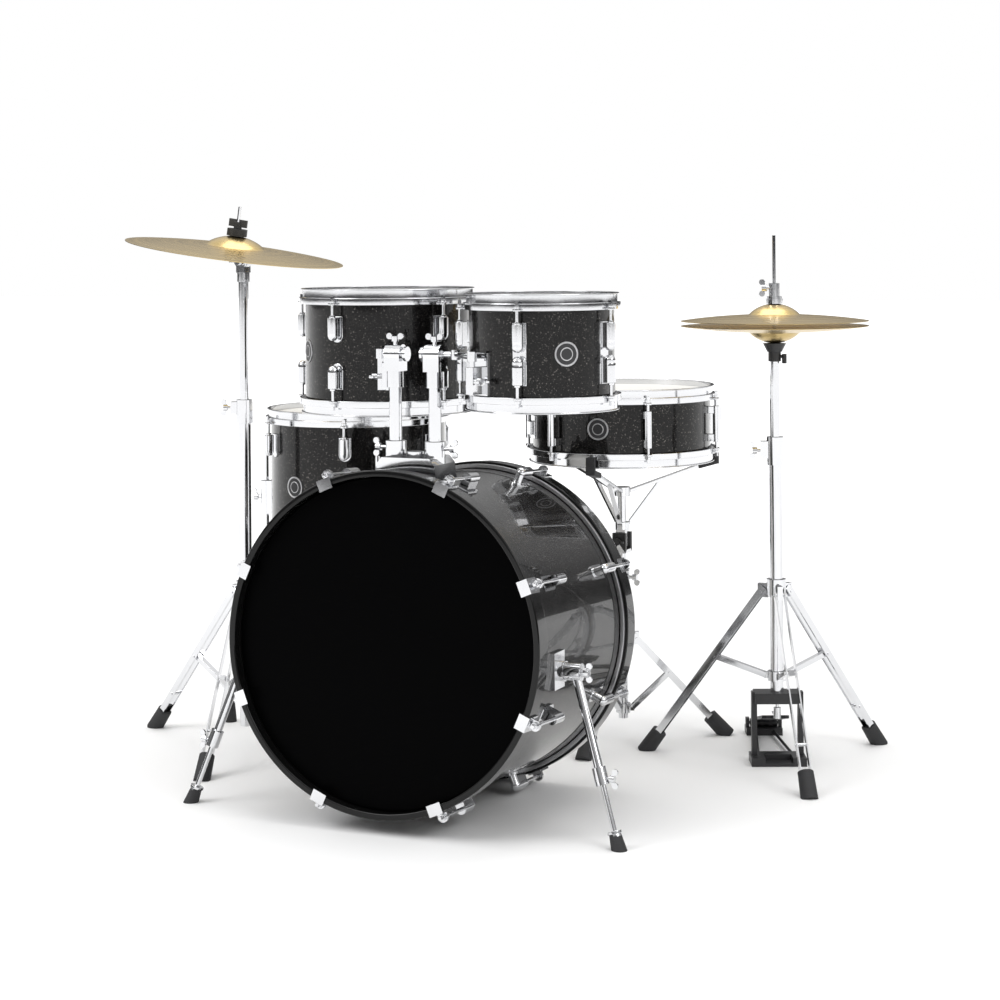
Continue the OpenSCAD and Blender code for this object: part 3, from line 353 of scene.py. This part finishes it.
def felt(name, colour):
    f = Finish(name, Sheen_Weight=0.5, Sheen_Roughness=0.5)
    fibre = f.noise(900, 6.0)
    f.set("Base Color", f.blend(fibre, shade(colour, 0.5), shade(colour, 1.5)))
    f.set("Roughness", fibre * 0.1 + 0.88)
    f.bump(fibre, 0.0005, 0.9)
    return f.material


def powder_coat():
    f = Finish("black_powder_coat")
    grit = f.noise(650, 2.0)
    f.set("Base Color", f.blend(f.noise(12, 3.0), (0.012, 0.012, 0.013, 1), (0.026, 0.026, 0.028, 1)))
    f.set("Roughness", grit * 0.15 + 0.33)
    f.bump(grit, 0.00012, 0.6)
    return f.material


def tread_plate():
    """The footboard's casting, with ribs across it for grip."""
    f = Finish("pedal_tread", Metallic=0.0)
    where = f.moved((0.5553, 0.2376, 0.022), (0, 0, math.radians(113)))
    along = f.axis(0, where)
    rib = (along * (2 * math.pi / 0.011)).sine()
    cross = (f.axis(1, where) * (2 * math.pi / 0.018)).sine()
    raised = (rib * cross) > 0.1
    f.set("Base Color", f.blend(raised, (0.016, 0.016, 0.017, 1), (0.05, 0.05, 0.053, 1)))
    f.set("Roughness", f.noise(120, 2.0) * 0.2 + 0.3)
    f.bump(raised * 1.0 + f.noise(600, 2.0) * 0.1, 0.0008, 0.8)
    return f.material


def nylon():
    f = Finish("black_nylon")
    f.set("Base Color", f.blend(f.noise(30, 3.0), (0.010, 0.010, 0.010, 1), (0.022, 0.022, 0.022, 1)))
    f.set("Roughness", f.noise(90, 2.0) * 0.15 + 0.36)
    f.bump(f.noise(400, 2.0), 0.00008, 0.5)
    return f.material


MAKERS = {
    "wrap": sparkle_wrap,
    "lacquer": lacquer,
    "maple": maple,
    "chrome": chrome,
    "steel": brushed_steel,
    "film": lambda: coated_film("coated_film", colours().film, 0.42),
    "black_film": lambda: coated_film("black_film", (0.0008, 0.0008, 0.0009), 0.3, 0.02),
    "rubber": rubber,
    "black_felt": lambda: felt("black_felt", (0.018, 0.018, 0.018)),
    "grey_felt": lambda: felt("grey_felt", (0.30, 0.29, 0.27)),
    "casting": powder_coat,
    "tread": tread_plate,
    "nylon": nylon,
}
MADE = {}


def finish(name):
    if name not in MADE:
        MADE[name] = MAKERS[name]()
    return MADE[name]


# ---------- making pieces ----------


def sharp_edges(bm, edges, angle):
    return [e for e in edges if len(e.link_faces) == 2 and e.calc_face_angle(0) > angle]


def ease(bm, edges, width, segments=2):
    """Bevels edges, as far as their neighbours leave room."""
    if edges:
        bmesh.ops.bevel(bm, geom=edges, offset=width, offset_type="OFFSET", segments=segments, profile=0.5,
                        affect="EDGES", clamp_overlap=True, material=-1)


def lathe(profile, closed=True, edge=0.0, segments=2, steps=None):
    """Turns a profile of (radius, height) about Z. Its corners may be eased."""
    bm = bmesh.new()
    verts = [bm.verts.new((r, 0, z)) for r, z in profile]
    pairs = list(zip(verts, verts[1:])) + ([(verts[-1], verts[0])] if closed else [])
    edges = [bm.edges.new(pair) for pair in pairs]
    bmesh.ops.spin(bm, geom=verts + edges, axis=(0, 0, 1), cent=(0, 0, 0), dvec=(0, 0, 0),
                   angle=2 * math.pi, steps=steps or sizes().steps, use_merge=True, use_duplicate=False)
    bmesh.ops.remove_doubles(bm, verts=bm.verts, dist=1e-6)
    bmesh.ops.recalc_face_normals(bm, faces=bm.faces)
    if edge:
        ease(bm, sharp_edges(bm, bm.edges, math.radians(28)), edge, segments)
    return bm


def join(parts):
    """One bmesh from several, each with its own place."""
    whole = bmesh.new()
    for part, place in parts:
        mesh = bpy.data.meshes.new("part")
        part.to_mesh(mesh)
        mesh.transform(place)
        if place.determinant() < 0:
            mesh.flip_normals()
        whole.from_mesh(mesh)
        bpy.data.meshes.remove(mesh)
    return whole


def piece(name, bm, finishes, node, place=None, smooth=50, stands_for=()):
    """A finished piece that rides with a CAD node's body and hides the nodes it stands for."""
    if place is not None:
        bm.transform(place)
        if place.determinant() < 0:
            bmesh.ops.reverse_faces(bm, faces=bm.faces)
    for face in bm.faces:
        face.smooth = True
    for edge in bm.edges:
        edge.smooth = len(edge.link_faces) != 2 or edge.calc_face_angle(0) < math.radians(smooth)
    mesh = bpy.data.meshes.new(name)
    bm.to_mesh(mesh)
    bm.free()
    obj = bpy.data.objects.new(name, mesh)
    bpy.context.scene.collection.objects.link(obj)
    for key in finishes:
        mesh.materials.append(finish(key) if isinstance(key, str) else key)
    weigh = obj.modifiers.new("even_shading", "WEIGHTED_NORMAL")
    weigh.keep_sharp = True
    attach(obj, BODY_OF[node])
    if stands_for:
        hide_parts(*stands_for)
    return obj


def islands(bm):
    """The faces of each separate solid, always in the mesh's own order."""
    left = set(bm.faces)
    for first in bm.faces[:]:
        if first not in left:
            continue
        left.remove(first)
        group, queue = [], [first]
        while queue:
            face = queue.pop()
            group.append(face)
            for vert in face.verts:
                for other in vert.link_faces:
                    if other in left:
                        left.remove(other)
                        queue.append(other)
        yield group


def worked(node, finishes, pick=None, edge=None, keep=None):
    """A CAD node's shape with merged faces and eased edges. pick(centre, low, high) gives the index of
    the finish of a face, from its middle and its solid's lowest and highest corner. keep(low, high)
    says which solids are wanted, where another piece stands for the rest."""
    bm = bmesh.new()
    bm.from_mesh(frame["nodes"][node].data)
    bmesh.ops.remove_doubles(bm, verts=bm.verts, dist=2e-6)
    for group in list(islands(bm)):
        low = Vector([min(v.co[k] for f in group for v in f.verts) for k in range(3)])
        high = Vector([max(v.co[k] for f in group for v in f.verts) for k in range(3)])
        if keep and not keep(low, high):
            bmesh.ops.delete(bm, geom=group, context="FACES")
            continue
        for face in group:
            face.material_index = pick(face.calc_center_median(), low, high) if pick else 0
    bmesh.ops.dissolve_limit(bm, angle_limit=math.radians(0.5), use_dissolve_boundaries=False,
                             verts=bm.verts, edges=bm.edges, delimit={"MATERIAL"})
    for group in list(islands(bm)):
        edges = list(dict.fromkeys(e for f in group for e in f.edges))
        ease(bm, sharp_edges(bm, edges, math.radians(40)), edge or sizes().edge)
    return piece(node + "_finished", bm, finishes, node, stands_for=(node,))


def middle(node):
    low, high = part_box(node)
    return (Vector(low) + Vector(high)) / 2


# ---------- drums ----------


def hoop_profile(r, top):
    rise = sizes().hoop_rise
    points = ((2.5, -6), (8.5, -6), (8.5, -16), (10.5, -16), (10.5, -4), (4.5, -4))
    lip = ((4.5, rise / MM - 2.2), (7.6, rise / MM - 2.2), (7.6, rise / MM), (2.5, rise / MM))
    return [(r + x * MM, top + z * MM) for x, z in points + lip]


def ear():
    """One ear of a hoop, a thick washer with an eased rim."""
    hole, rim, thick = 3.2 * MM, 7.5 * MM, 4 * MM
    return lathe([(hole, 0), (rim, 0), (rim, thick), (hole, thick)], edge=0.5 * MM, steps=28)


def turned(angle, radius, height):
    return Matrix.Rotation(math.radians(angle), 4, "Z") @ Matrix.Translation((radius, 0, height))


def head_profile(r, top):
    f = sizes().film
    c = r + 0.5 * MM
    return [(0, top), (c - 1.5 * MM, top), (c, top - 1.5 * MM), (c, top - 7 * MM),
            (c + f, top - 7 * MM), (c + f, top - 1.2 * MM), (c + f - 1.6 * MM, top + f), (0, top + f)]


def ring_profile(r, top):
    a, b = r + 0.6 * MM, r + 7.5 * MM
    return [(a, top - 13 * MM), (b, top - 13 * MM), (b, top - 6.2 * MM), (a, top - 6.2 * MM)]


def dress_drum(name):
    """Shell, heads with their rings, hoops with ears, and the badge of one drum."""
    count, turn, badge_turn, badge_up = DRUMS[name]
    low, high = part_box(name + "_shell")
    centre = (Vector(low) + Vector(high)) / 2
    place = Matrix.Translation(centre)
    flip = place @ Matrix.Rotation(math.pi, 4, "X")
    r = (high[0] - low[0]) / 2
    half = (high[2] - low[2]) / 2
    wall = sizes().shell_wall
    shell = lathe([(r - wall, -half), (r, -half), (r, half), (r - wall, half)], edge=1.2 * MM)
    for face in shell.faces:
        inside = face.calc_center_median()
        face.material_index = 0 if math.hypot(inside.x, inside.y) > r - 1.4 * MM else 1
    piece(name + "_shell_finished", shell, ["wrap", "maple"], name + "_shell", place, 30, [name + "_shell"])
    films = [(lathe(head_profile(r, half), closed=False), m) for m in (place, flip)]
    piece(name + "_films", join(films), ["film"], name + "_heads", stands_for=[name + "_heads"])
    rings = [(lathe(ring_profile(r, half), edge=0.8 * MM), m) for m in (place, flip)]
    piece(name + "_flesh_rings", join(rings), ["steel"], name + "_heads")
    bands = []
    for side in (1, -1):
        # The lower end is the upper one mirrored, so that its ears keep their directions
        way = place @ Matrix.Scale(side, 4, (0, 0, 1))
        bands.append((lathe(hoop_profile(r, half), edge=0.7 * MM), way))
        for k in range(count):
            bands.append((ear(), way @ turned(turn + 360 * k / count, r + 15.7 * MM, half - 16 * MM)))
    piece(name + "_hoops_finished", join(bands), ["chrome"], name + "_hoops", stands_for=[name + "_hoops"])
    dress_badge(name, r, place @ Matrix.Translation((0, 0, badge_up)), badge_turn)
    if name != "snare":
        dress_lugs(name, count, turn, r, half, place)


def tongue(width, height, depth, edge, segments):
    """An upright plate along X with a round lower end and a flat upper end at z = 0."""
    bm = bmesh.new()
    bmesh.ops.create_circle(bm, cap_ends=True, segments=28, radius=width / 2)
    for v in bm.verts:
        across, up = v.co.x, v.co.y
        v.co = Vector((0, across, up - height + width / 2 if up < 1e-6 else 0))
    grown = bmesh.ops.extrude_face_region(bm, geom=bm.faces[:])["geom"]
    outer = [g for g in grown if isinstance(g, bmesh.types.BMVert)]
    bmesh.ops.translate(bm, vec=(depth, 0, 0), verts=outer)
    bmesh.ops.recalc_face_normals(bm, faces=bm.faces)
    front = [e for e in sharp_edges(bm, bm.edges, math.radians(40))
             if all(v.co.x > depth / 2 for v in e.verts)]
    ease(bm, front, edge, segments)
    return bm


# Lug shapes as (radius, height) in millimetres, and how far their axes stand off the shell
LUG_BODY = ((0, -42), (4.2, -41), (7.6, -38), (9.3, -33.5), (9.5, -29), (9.5, 0), (0, 0))
LUG_NUT = ((2.9, -1), (5.4, -1), (5.4, 4), (2.9, 4))
LUG_BODY_OUT = 16.2 * MM
LUG_NUT_OUT = 17.3 * MM


def in_metres(profile):
    return [(r * MM, z * MM) for r, z in profile]


def dress_lugs(name, count, turn, r, half, place):
    """Bullet lugs: a rimmed plate on the shell and a round body with its flat end to the hoop."""
    node = name + ("_lugs" if name == "floor_tom" else "_fittings")
    top = half - 38 * MM
    parts = []
    for side in (1, -1):
        way = place @ Matrix.Scale(side, 4, (0, 0, 1))
        for k in range(count):
            at = way @ turned(turn + 360 * k / count, r - 1.6 * MM, top)
            plate = tongue(25 * MM, 47 * MM, 4.6 * MM, 1.2 * MM, 2)
            parts.append((plate, at @ Matrix.Translation((0, 0, 2 * MM))))
            body = lathe(in_metres(LUG_BODY), closed=False, edge=0.8 * MM, steps=40)
            parts.append((body, at @ Matrix.Translation((LUG_BODY_OUT, 0, 0))))
            nut = lathe(in_metres(LUG_NUT), edge=0.6 * MM, steps=24)
            parts.append((nut, at @ Matrix.Translation((LUG_NUT_OUT, 0, 0))))
    piece(name + "_lugs_finished", join(parts), ["chrome"], node, stands_for=[node])


def dress_badge(name, r, place, turn):
    """A plain round badge: a rim, a sunk field and a raised inner ring, without any lettering."""
    b = sizes().badge
    base, field, mid, top = -0.2 * MM, 1.0 * MM, 1.4 * MM, 1.6 * MM
    rim = lathe([(0, base), (b, base), (b, top), (b * 0.88, top), (b * 0.86, field), (b * 0.55, field),
                 (b * 0.53, mid), (b * 0.47, mid), (b * 0.45, field), (0, field)],
                closed=False, edge=0.2 * MM, steps=64)
    for face in rim.faces:
        c = face.calc_center_median()
        out = math.hypot(c.x, c.y)
        face.material_index = 1 if c.z > 0.9 * MM and out < b * 0.86 and not b * 0.46 < out < b * 0.54 else 0
    at = place @ Matrix.Rotation(math.radians(turn), 4, "Z") @ Matrix.Translation((r, 0, 0))
    at = at @ Matrix.Rotation(math.pi / 2, 4, "Y")
    wrap_round(rim, b, r)
    piece(name + "_badge", rim, ["steel", "casting"], name + "_shell", at)


def wrap_round(bm, b, r):
    """Bends a flat round badge onto a shell of radius r. Its local Y runs round the shell."""
    for v in bm.verts:
        v.co.z -= v.co.y ** 2 / (2 * r)


def bass_matrix():
    return Matrix.Translation(middle("bass_shell")) @ Matrix.Rotation(math.pi / 2 - sizes().bass_tilt, 4, "X")


def bass_sizes():
    """Radius and half length of the bass drum shell, from its box and its tilt."""
    low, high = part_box("bass_shell")
    t = sizes().bass_tilt
    r = (high[0] - low[0]) / 2
    return r, ((high[1] - low[1]) - 2 * r * math.sin(t)) / math.cos(t) / 2


class KitOperator(bpy.types.Operator):
    bl_options = {"REGISTER", "UNDO"}


class KIT_OT_bass_drum(KitOperator):
    """Build the bass drum's shell, heads and hoops"""

    bl_idname = "kit.bass_drum"
    bl_label = "Bass drum"

    def execute(self, context):
        place = bass_matrix()
        back = place @ Matrix.Rotation(math.pi, 4, "X")
        r, half = bass_sizes()
        wall = sizes().bass_wall
        shell = lathe([(r - wall, -half), (r, -half), (r, half), (r - wall, half)], edge=1.2 * MM)
        for face in shell.faces:
            c = face.calc_center_median()
            face.material_index = 0 if math.hypot(c.x, c.y) > r - 1.4 * MM else 1
        piece("bass_shell_finished", shell, ["wrap", "maple"], "bass_shell", place, 30, ["bass_shell"])
        low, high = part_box("bass_hoops")
        out = (high[0] - low[0]) / 2
        inner = out - 11.5 * MM
        over, step = 21.8 * MM, half + (21.8 - 38) * MM
        hoops = [(lathe([(inner, step), (out, step), (out, half + over), (inner, half + over)],
                        edge=2.4 * MM, segments=4), m) for m in (place, back)]
        piece("bass_hoops_finished", join(hoops), ["lacquer"], "bass_hoops", stands_for=["bass_hoops"])
        for key, way, coat in (("front", place, "black_film"), ("rear", back, "film")):
            c, f = r + 0.5 * MM, sizes().film
            film = lathe([(0, half), (c - 3 * MM, half), (c, half - 3 * MM), (c, step), (c + f, step),
                          (c + f, half - 2 * MM), (c + f - 3 * MM, half + f), (0, half + f)], closed=False)
            piece("bass_film_" + key, film, [coat], "bass_heads", way, stands_for=["bass_heads"])
            ring = lathe([(c + 0.1 * MM, step - 7 * MM), (c + 8 * MM, step - 7 * MM), (c + 8 * MM, step),
                          (c + 0.1 * MM, step)], edge=1 * MM)
            piece("bass_flesh_ring_" + key, ring, ["steel"], "bass_heads", way)
        return {"FINISHED"}


class KIT_OT_drums(KitOperator):
    """Build the shells, heads, hoops and badges of the toms, the floor tom and the snare drum"""

    bl_idname = "kit.drums"
    bl_label = "Toms and snare drum"

    def execute(self, context):
        for name in DRUMS:
            dress_drum(name)
        return {"FINISHED"}


class KIT_OT_drum_hardware(KitOperator):
    """Finish the lugs, rods, claws, brackets, legs and snare strainer"""

    bl_idname = "kit.drum_hardware"
    bl_label = "Drum hardware"

    def execute(self, context):
        for node in ("bass_lugs", "bass_claws", "bass_spur_brackets", "bass_tension_rods",
                     "floor_tom_brackets", "snare_lugs", "small_tom_rods", "large_tom_rods",
                     "floor_tom_rods", "snare_rods", "floor_tom_legs", "snare_strainer", "snare_lever"):
            worked(node, ["chrome"])
        for node in ("small_tom_fittings", "large_tom_fittings"):
            worked(node, ["chrome"], keep=lambda low, high: high.z - low.z > 60 * MM)
        worked("snare_wires", ["steel"], edge=0.2 * MM)
        return {"FINISHED"}


class KIT_OT_spurs(KitOperator):
    """Finish the two spurs and their rods with rubber tips"""

    bl_idname = "kit.spurs"
    bl_label = "Spurs"

    def execute(self, context):
        for side in ("left", "right"):
            worked(side + "_spur", ["chrome"])
            worked(side + "_spur_tip", ["chrome", "rubber"], lambda c, low, high: int(c.z < 25 * MM))
        return {"FINISHED"}


class KIT_OT_tom_holder(KitOperator):
    """Finish the double tom holder"""

    bl_idname = "kit.tom_holder"
    bl_label = "Tom holder"

    def execute(self, context):
        for node in ("tom_mount_base", "tom_mount_screws", "left_tom_post", "right_tom_post", "left_tom_arm",
                     "right_tom_arm"):
            worked(node, ["chrome"], edge=1.0 * MM)
        return {"FINISHED"}


class KIT_OT_stands(KitOperator):
    """Finish the snare stand, the hi-hat stand with its pedal, the crash stand and all rubber feet"""

    bl_idname = "kit.stands"
    bl_label = "Stands"

    def execute(self, context):
        for node in ("snare_stand_base", "hihat_base", "crash_base", "hihat_upper_tube", "crash_upper_tube",
                     "hihat_pull_rod", "crash_tilter"):
            worked(node, ["chrome"])
        worked("snare_stand_post", ["chrome", "nylon"],
               lambda c, low, high: int(c.z > middle("snare_stand_post").z + 58 * MM))
        worked("snare_basket", ["chrome", "rubber"], lambda c, low, high: int(
            low.z > middle("snare_basket").z + 20 * MM))
        worked("hihat_seat", ["casting"])
        worked("hihat_pedal_frame", ["casting"], edge=1.0 * MM)
        worked("hihat_footboard", ["tread"], edge=1.0 * MM)
        worked("rubber_feet", ["rubber"], edge=1.2 * MM)
        worked("hihat_clutch", ["chrome", "grey_felt"], lambda c, low, high: int(high.z - low.z < 12 * MM))
        worked("crash_wing_nut", ["nylon", "black_felt"], lambda c, low, high: int(
            max(high.x - low.x, high.y - low.y) < 45 * MM and high.z - low.z < 19 * MM and min(
                high.x - low.x, high.y - low.y) > 28 * MM))
        return {"FINISHED"}


def cymbal_profile(r, hole, rise, thick):
    """Top and underside of a cymbal, from its hole to its edge."""
    bow, bell, share = 12 * MM, 20 * MM, 0.27

    def height(x):
        cup = bell * max(0.0, 1 - (x / (share * r)) ** 2) ** 0.8 if x < share * r else 0
        return bow * (1 - (x / r) ** 2) + cup

    count = 56
    radii = [hole + (r - hole) * k / count for k in range(count + 1)]
    under = [(x, height(x)) for x in radii]
    over = [(x, height(x) + thick * (1 - 0.35 * (x / r) ** 6)) for x in reversed(radii)]
    return [(x, z + rise) for x, z in under + over]


class KIT_OT_cymbals(KitOperator):
    """Build the two hi-hat cymbals and the crash cymbal"""

    bl_idname = "kit.cymbals"
    bl_label = "Cymbals"

    def execute(self, context):
        thick, hole = 1.4 * MM, 6 * MM
        low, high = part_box("hihat_top_cymbal")
        r, centre = (high[0] - low[0]) / 2, middle("hihat_top_cymbal")
        spot = Vector((centre.x, centre.y, low[2]))
        top = lathe(cymbal_profile(r, hole, 0, thick))
        piece("hihat_top_finished", top, [bronze("hihat_bronze", spot, 0)], "hihat_top_cymbal",
              Matrix.Translation(spot), stands_for=["hihat_top_cymbal"])
        low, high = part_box("hihat_bottom_cymbal")
        spot = Vector((centre.x, centre.y, high[2]))
        bottom = lathe(cymbal_profile(r, hole, 0, thick))
        piece("hihat_bottom_finished", bottom, [bronze("hihat_lower_bronze", spot, 0)], "hihat_bottom_cymbal",
              Matrix.Translation(spot) @ Matrix.Rotation(math.pi, 4, "X"), stands_for=["hihat_bottom_cymbal"])
        low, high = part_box("crash_cymbal")
        spin = [j for j in frame["joints"] if j["name"] == "crash_turn"][0]
        lean = math.atan2(spin["axis"][0], spin["axis"][2])
        r = (high[1] - low[1]) / 2
        ball = [j for j in frame["joints"] if j["name"] == "crash_tilt"][0]["pos_m"]
        turn = Matrix.Rotation(lean, 4, "Y")
        seat = 46 * MM - (cymbal_profile(r, hole, 0, thick)[0][1])
        place = Matrix.Translation(ball) @ turn @ Matrix.Translation((-22 * MM, 0, seat))
        metal = bronze("crash_bronze", place.translation, lean)
        piece("crash_finished", lathe(cymbal_profile(r, hole, 0, thick)), [metal], "crash_cymbal", place,
              stands_for=["crash_cymbal"])
        return {"FINISHED"}


class KIT_OT_stage(KitOperator):
    """Set the floor, the soft studio light and the camera"""

    bl_idname = "kit.stage"
    bl_label = "Stage"

    def execute(self, context):
        settings = context.scene.kit_stage
        floor = bmesh.new()
        bmesh.ops.create_grid(floor, x_segments=4, y_segments=4, size=30)
        mesh = bpy.data.meshes.new("studio_floor")
        floor.to_mesh(mesh)
        floor.free()
        obj = bpy.data.objects.new("studio_floor", mesh)
        context.scene.collection.objects.link(obj)
        paint = Finish("floor_paint", Roughness=0.7)
        cloud = paint.noise(0.6, 2.0)
        paint.set("Base Color", paint.blend(cloud, shade(settings.floor, 0.985), opaque(settings.floor)))
        # The far floor glows a little, so that it runs into the white surround
        far = (paint.radius(paint.coords) - 1.6).apply("MULTIPLY", 0.22).apply("MAXIMUM", 0.0)
        paint.set("Emission Color", paint.blend(far.apply("MINIMUM", 1.0), (0, 0, 0, 1), (1, 1, 1, 1)))
        paint.shader.inputs["Emission Strength"].default_value = 0.6
        mesh.materials.append(paint.material)
        self.light(context)
        data = bpy.data.cameras.new("studio_camera")
        data.sensor_width = 36
        data.lens = settings.lens
        data.shift_x, data.shift_y = settings.side_shift, settings.shift
        camera = bpy.data.objects.new("studio_camera", data)
        context.scene.collection.objects.link(camera)
        camera.matrix_world = (Matrix.Translation(settings.eye) @ Matrix.Rotation(settings.heading, 4, "Z")
                               @ Matrix.Rotation(math.pi / 2, 4, "X") @ Matrix.Rotation(settings.roll, 4, "Z"))
        context.scene.camera = camera
        context.scene.view_settings.view_transform = "Standard"
        return {"FINISHED"}

    def light(self, context):
        """Three large soft boxes and a white surround that is darker near the horizon."""
        boxes = (("key", (-2.6, -3.0, 3.4), 2.4, 95), ("fill", (3.6, -1.6, 2.6), 2.0, 45),
                 ("top", (0.0, 0.6, 4.2), 3.2, 70))
        for name, place, size, power in boxes:
            data = bpy.data.lights.new("softbox_" + name, "AREA")
            data.shape, data.size, data.energy = "SQUARE", size, power
            lamp = bpy.data.objects.new("softbox_" + name, data)
            context.scene.collection.objects.link(lamp)
            aim = Vector((0, 0, 0.5)) - Vector(place)
            lamp.matrix_world = Matrix.Translation(place) @ aim.to_track_quat("-Z", "Y").to_matrix().to_4x4()
        world = bpy.data.worlds.new("studio")
        context.scene.world = world
        world.use_nodes = True
        tree = world.node_tree
        tree.nodes.clear()
        make, link = tree.nodes.new, tree.links.new
        coords, split = make("ShaderNodeTexCoord"), make("ShaderNodeSeparateXYZ")
        ramp = make("ShaderNodeValToRGB")
        link(coords.outputs["Generated"], split.inputs[0])
        link(split.outputs["Z"], ramp.inputs[0])
        stops = ramp.color_ramp.elements
        stops[0].position, stops[0].color = 0.02, (0.03, 0.03, 0.032, 1)
        stops[1].position, stops[1].color = 0.62, (1.0, 1.0, 1.0, 1)
        around, seen = make("ShaderNodeBackground"), make("ShaderNodeBackground")
        mix = make("ShaderNodeMixShader")
        link(ramp.outputs[0], around.inputs["Color"])
        seen.inputs["Color"].default_value = (1, 1, 1, 1)
        path, out = make("ShaderNodeLightPath"), make("ShaderNodeOutputWorld")
        link(path.outputs["Is Camera Ray"], mix.inputs[0])
        link(around.outputs[0], mix.inputs[1])
        link(seen.outputs[0], mix.inputs[2])
        link(mix.outputs[0], out.inputs[0])


STEPS = (KIT_OT_bass_drum, KIT_OT_drums, KIT_OT_drum_hardware, KIT_OT_spurs, KIT_OT_tom_holder, KIT_OT_stands,
         KIT_OT_cymbals, KIT_OT_stage)


class KIT_PT_panel(bpy.types.Panel):
    bl_idname = "KIT_PT_panel"
    bl_label = "Drum kit"
    bl_space_type = "VIEW_3D"
    bl_region_type = "UI"
    bl_category = "Drum kit"

    def draw(self, context):
        for step in STEPS:
            self.layout.operator(step.bl_idname)


CLASSES = (KitSizes, KitColours, StageSettings) + STEPS + (KIT_PT_panel,)


def register():
    for cls in CLASSES:
        bpy.utils.register_class(cls)
    bpy.types.Scene.kit_sizes = PointerProperty(type=KitSizes)
    bpy.types.Scene.kit_colours = PointerProperty(type=KitColours)
    bpy.types.Scene.kit_stage = PointerProperty(type=StageSettings)


def unregister():
    for key in ("kit_sizes", "kit_colours", "kit_stage"):
        delattr(bpy.types.Scene, key)
    for cls in reversed(CLASSES):
        bpy.utils.unregister_class(cls)


def main():
    register()
    for step in STEPS:
        group, name = step.bl_idname.split(".")
        getattr(getattr(bpy.ops, group), name)()


if __name__ == "__main__":
    main()
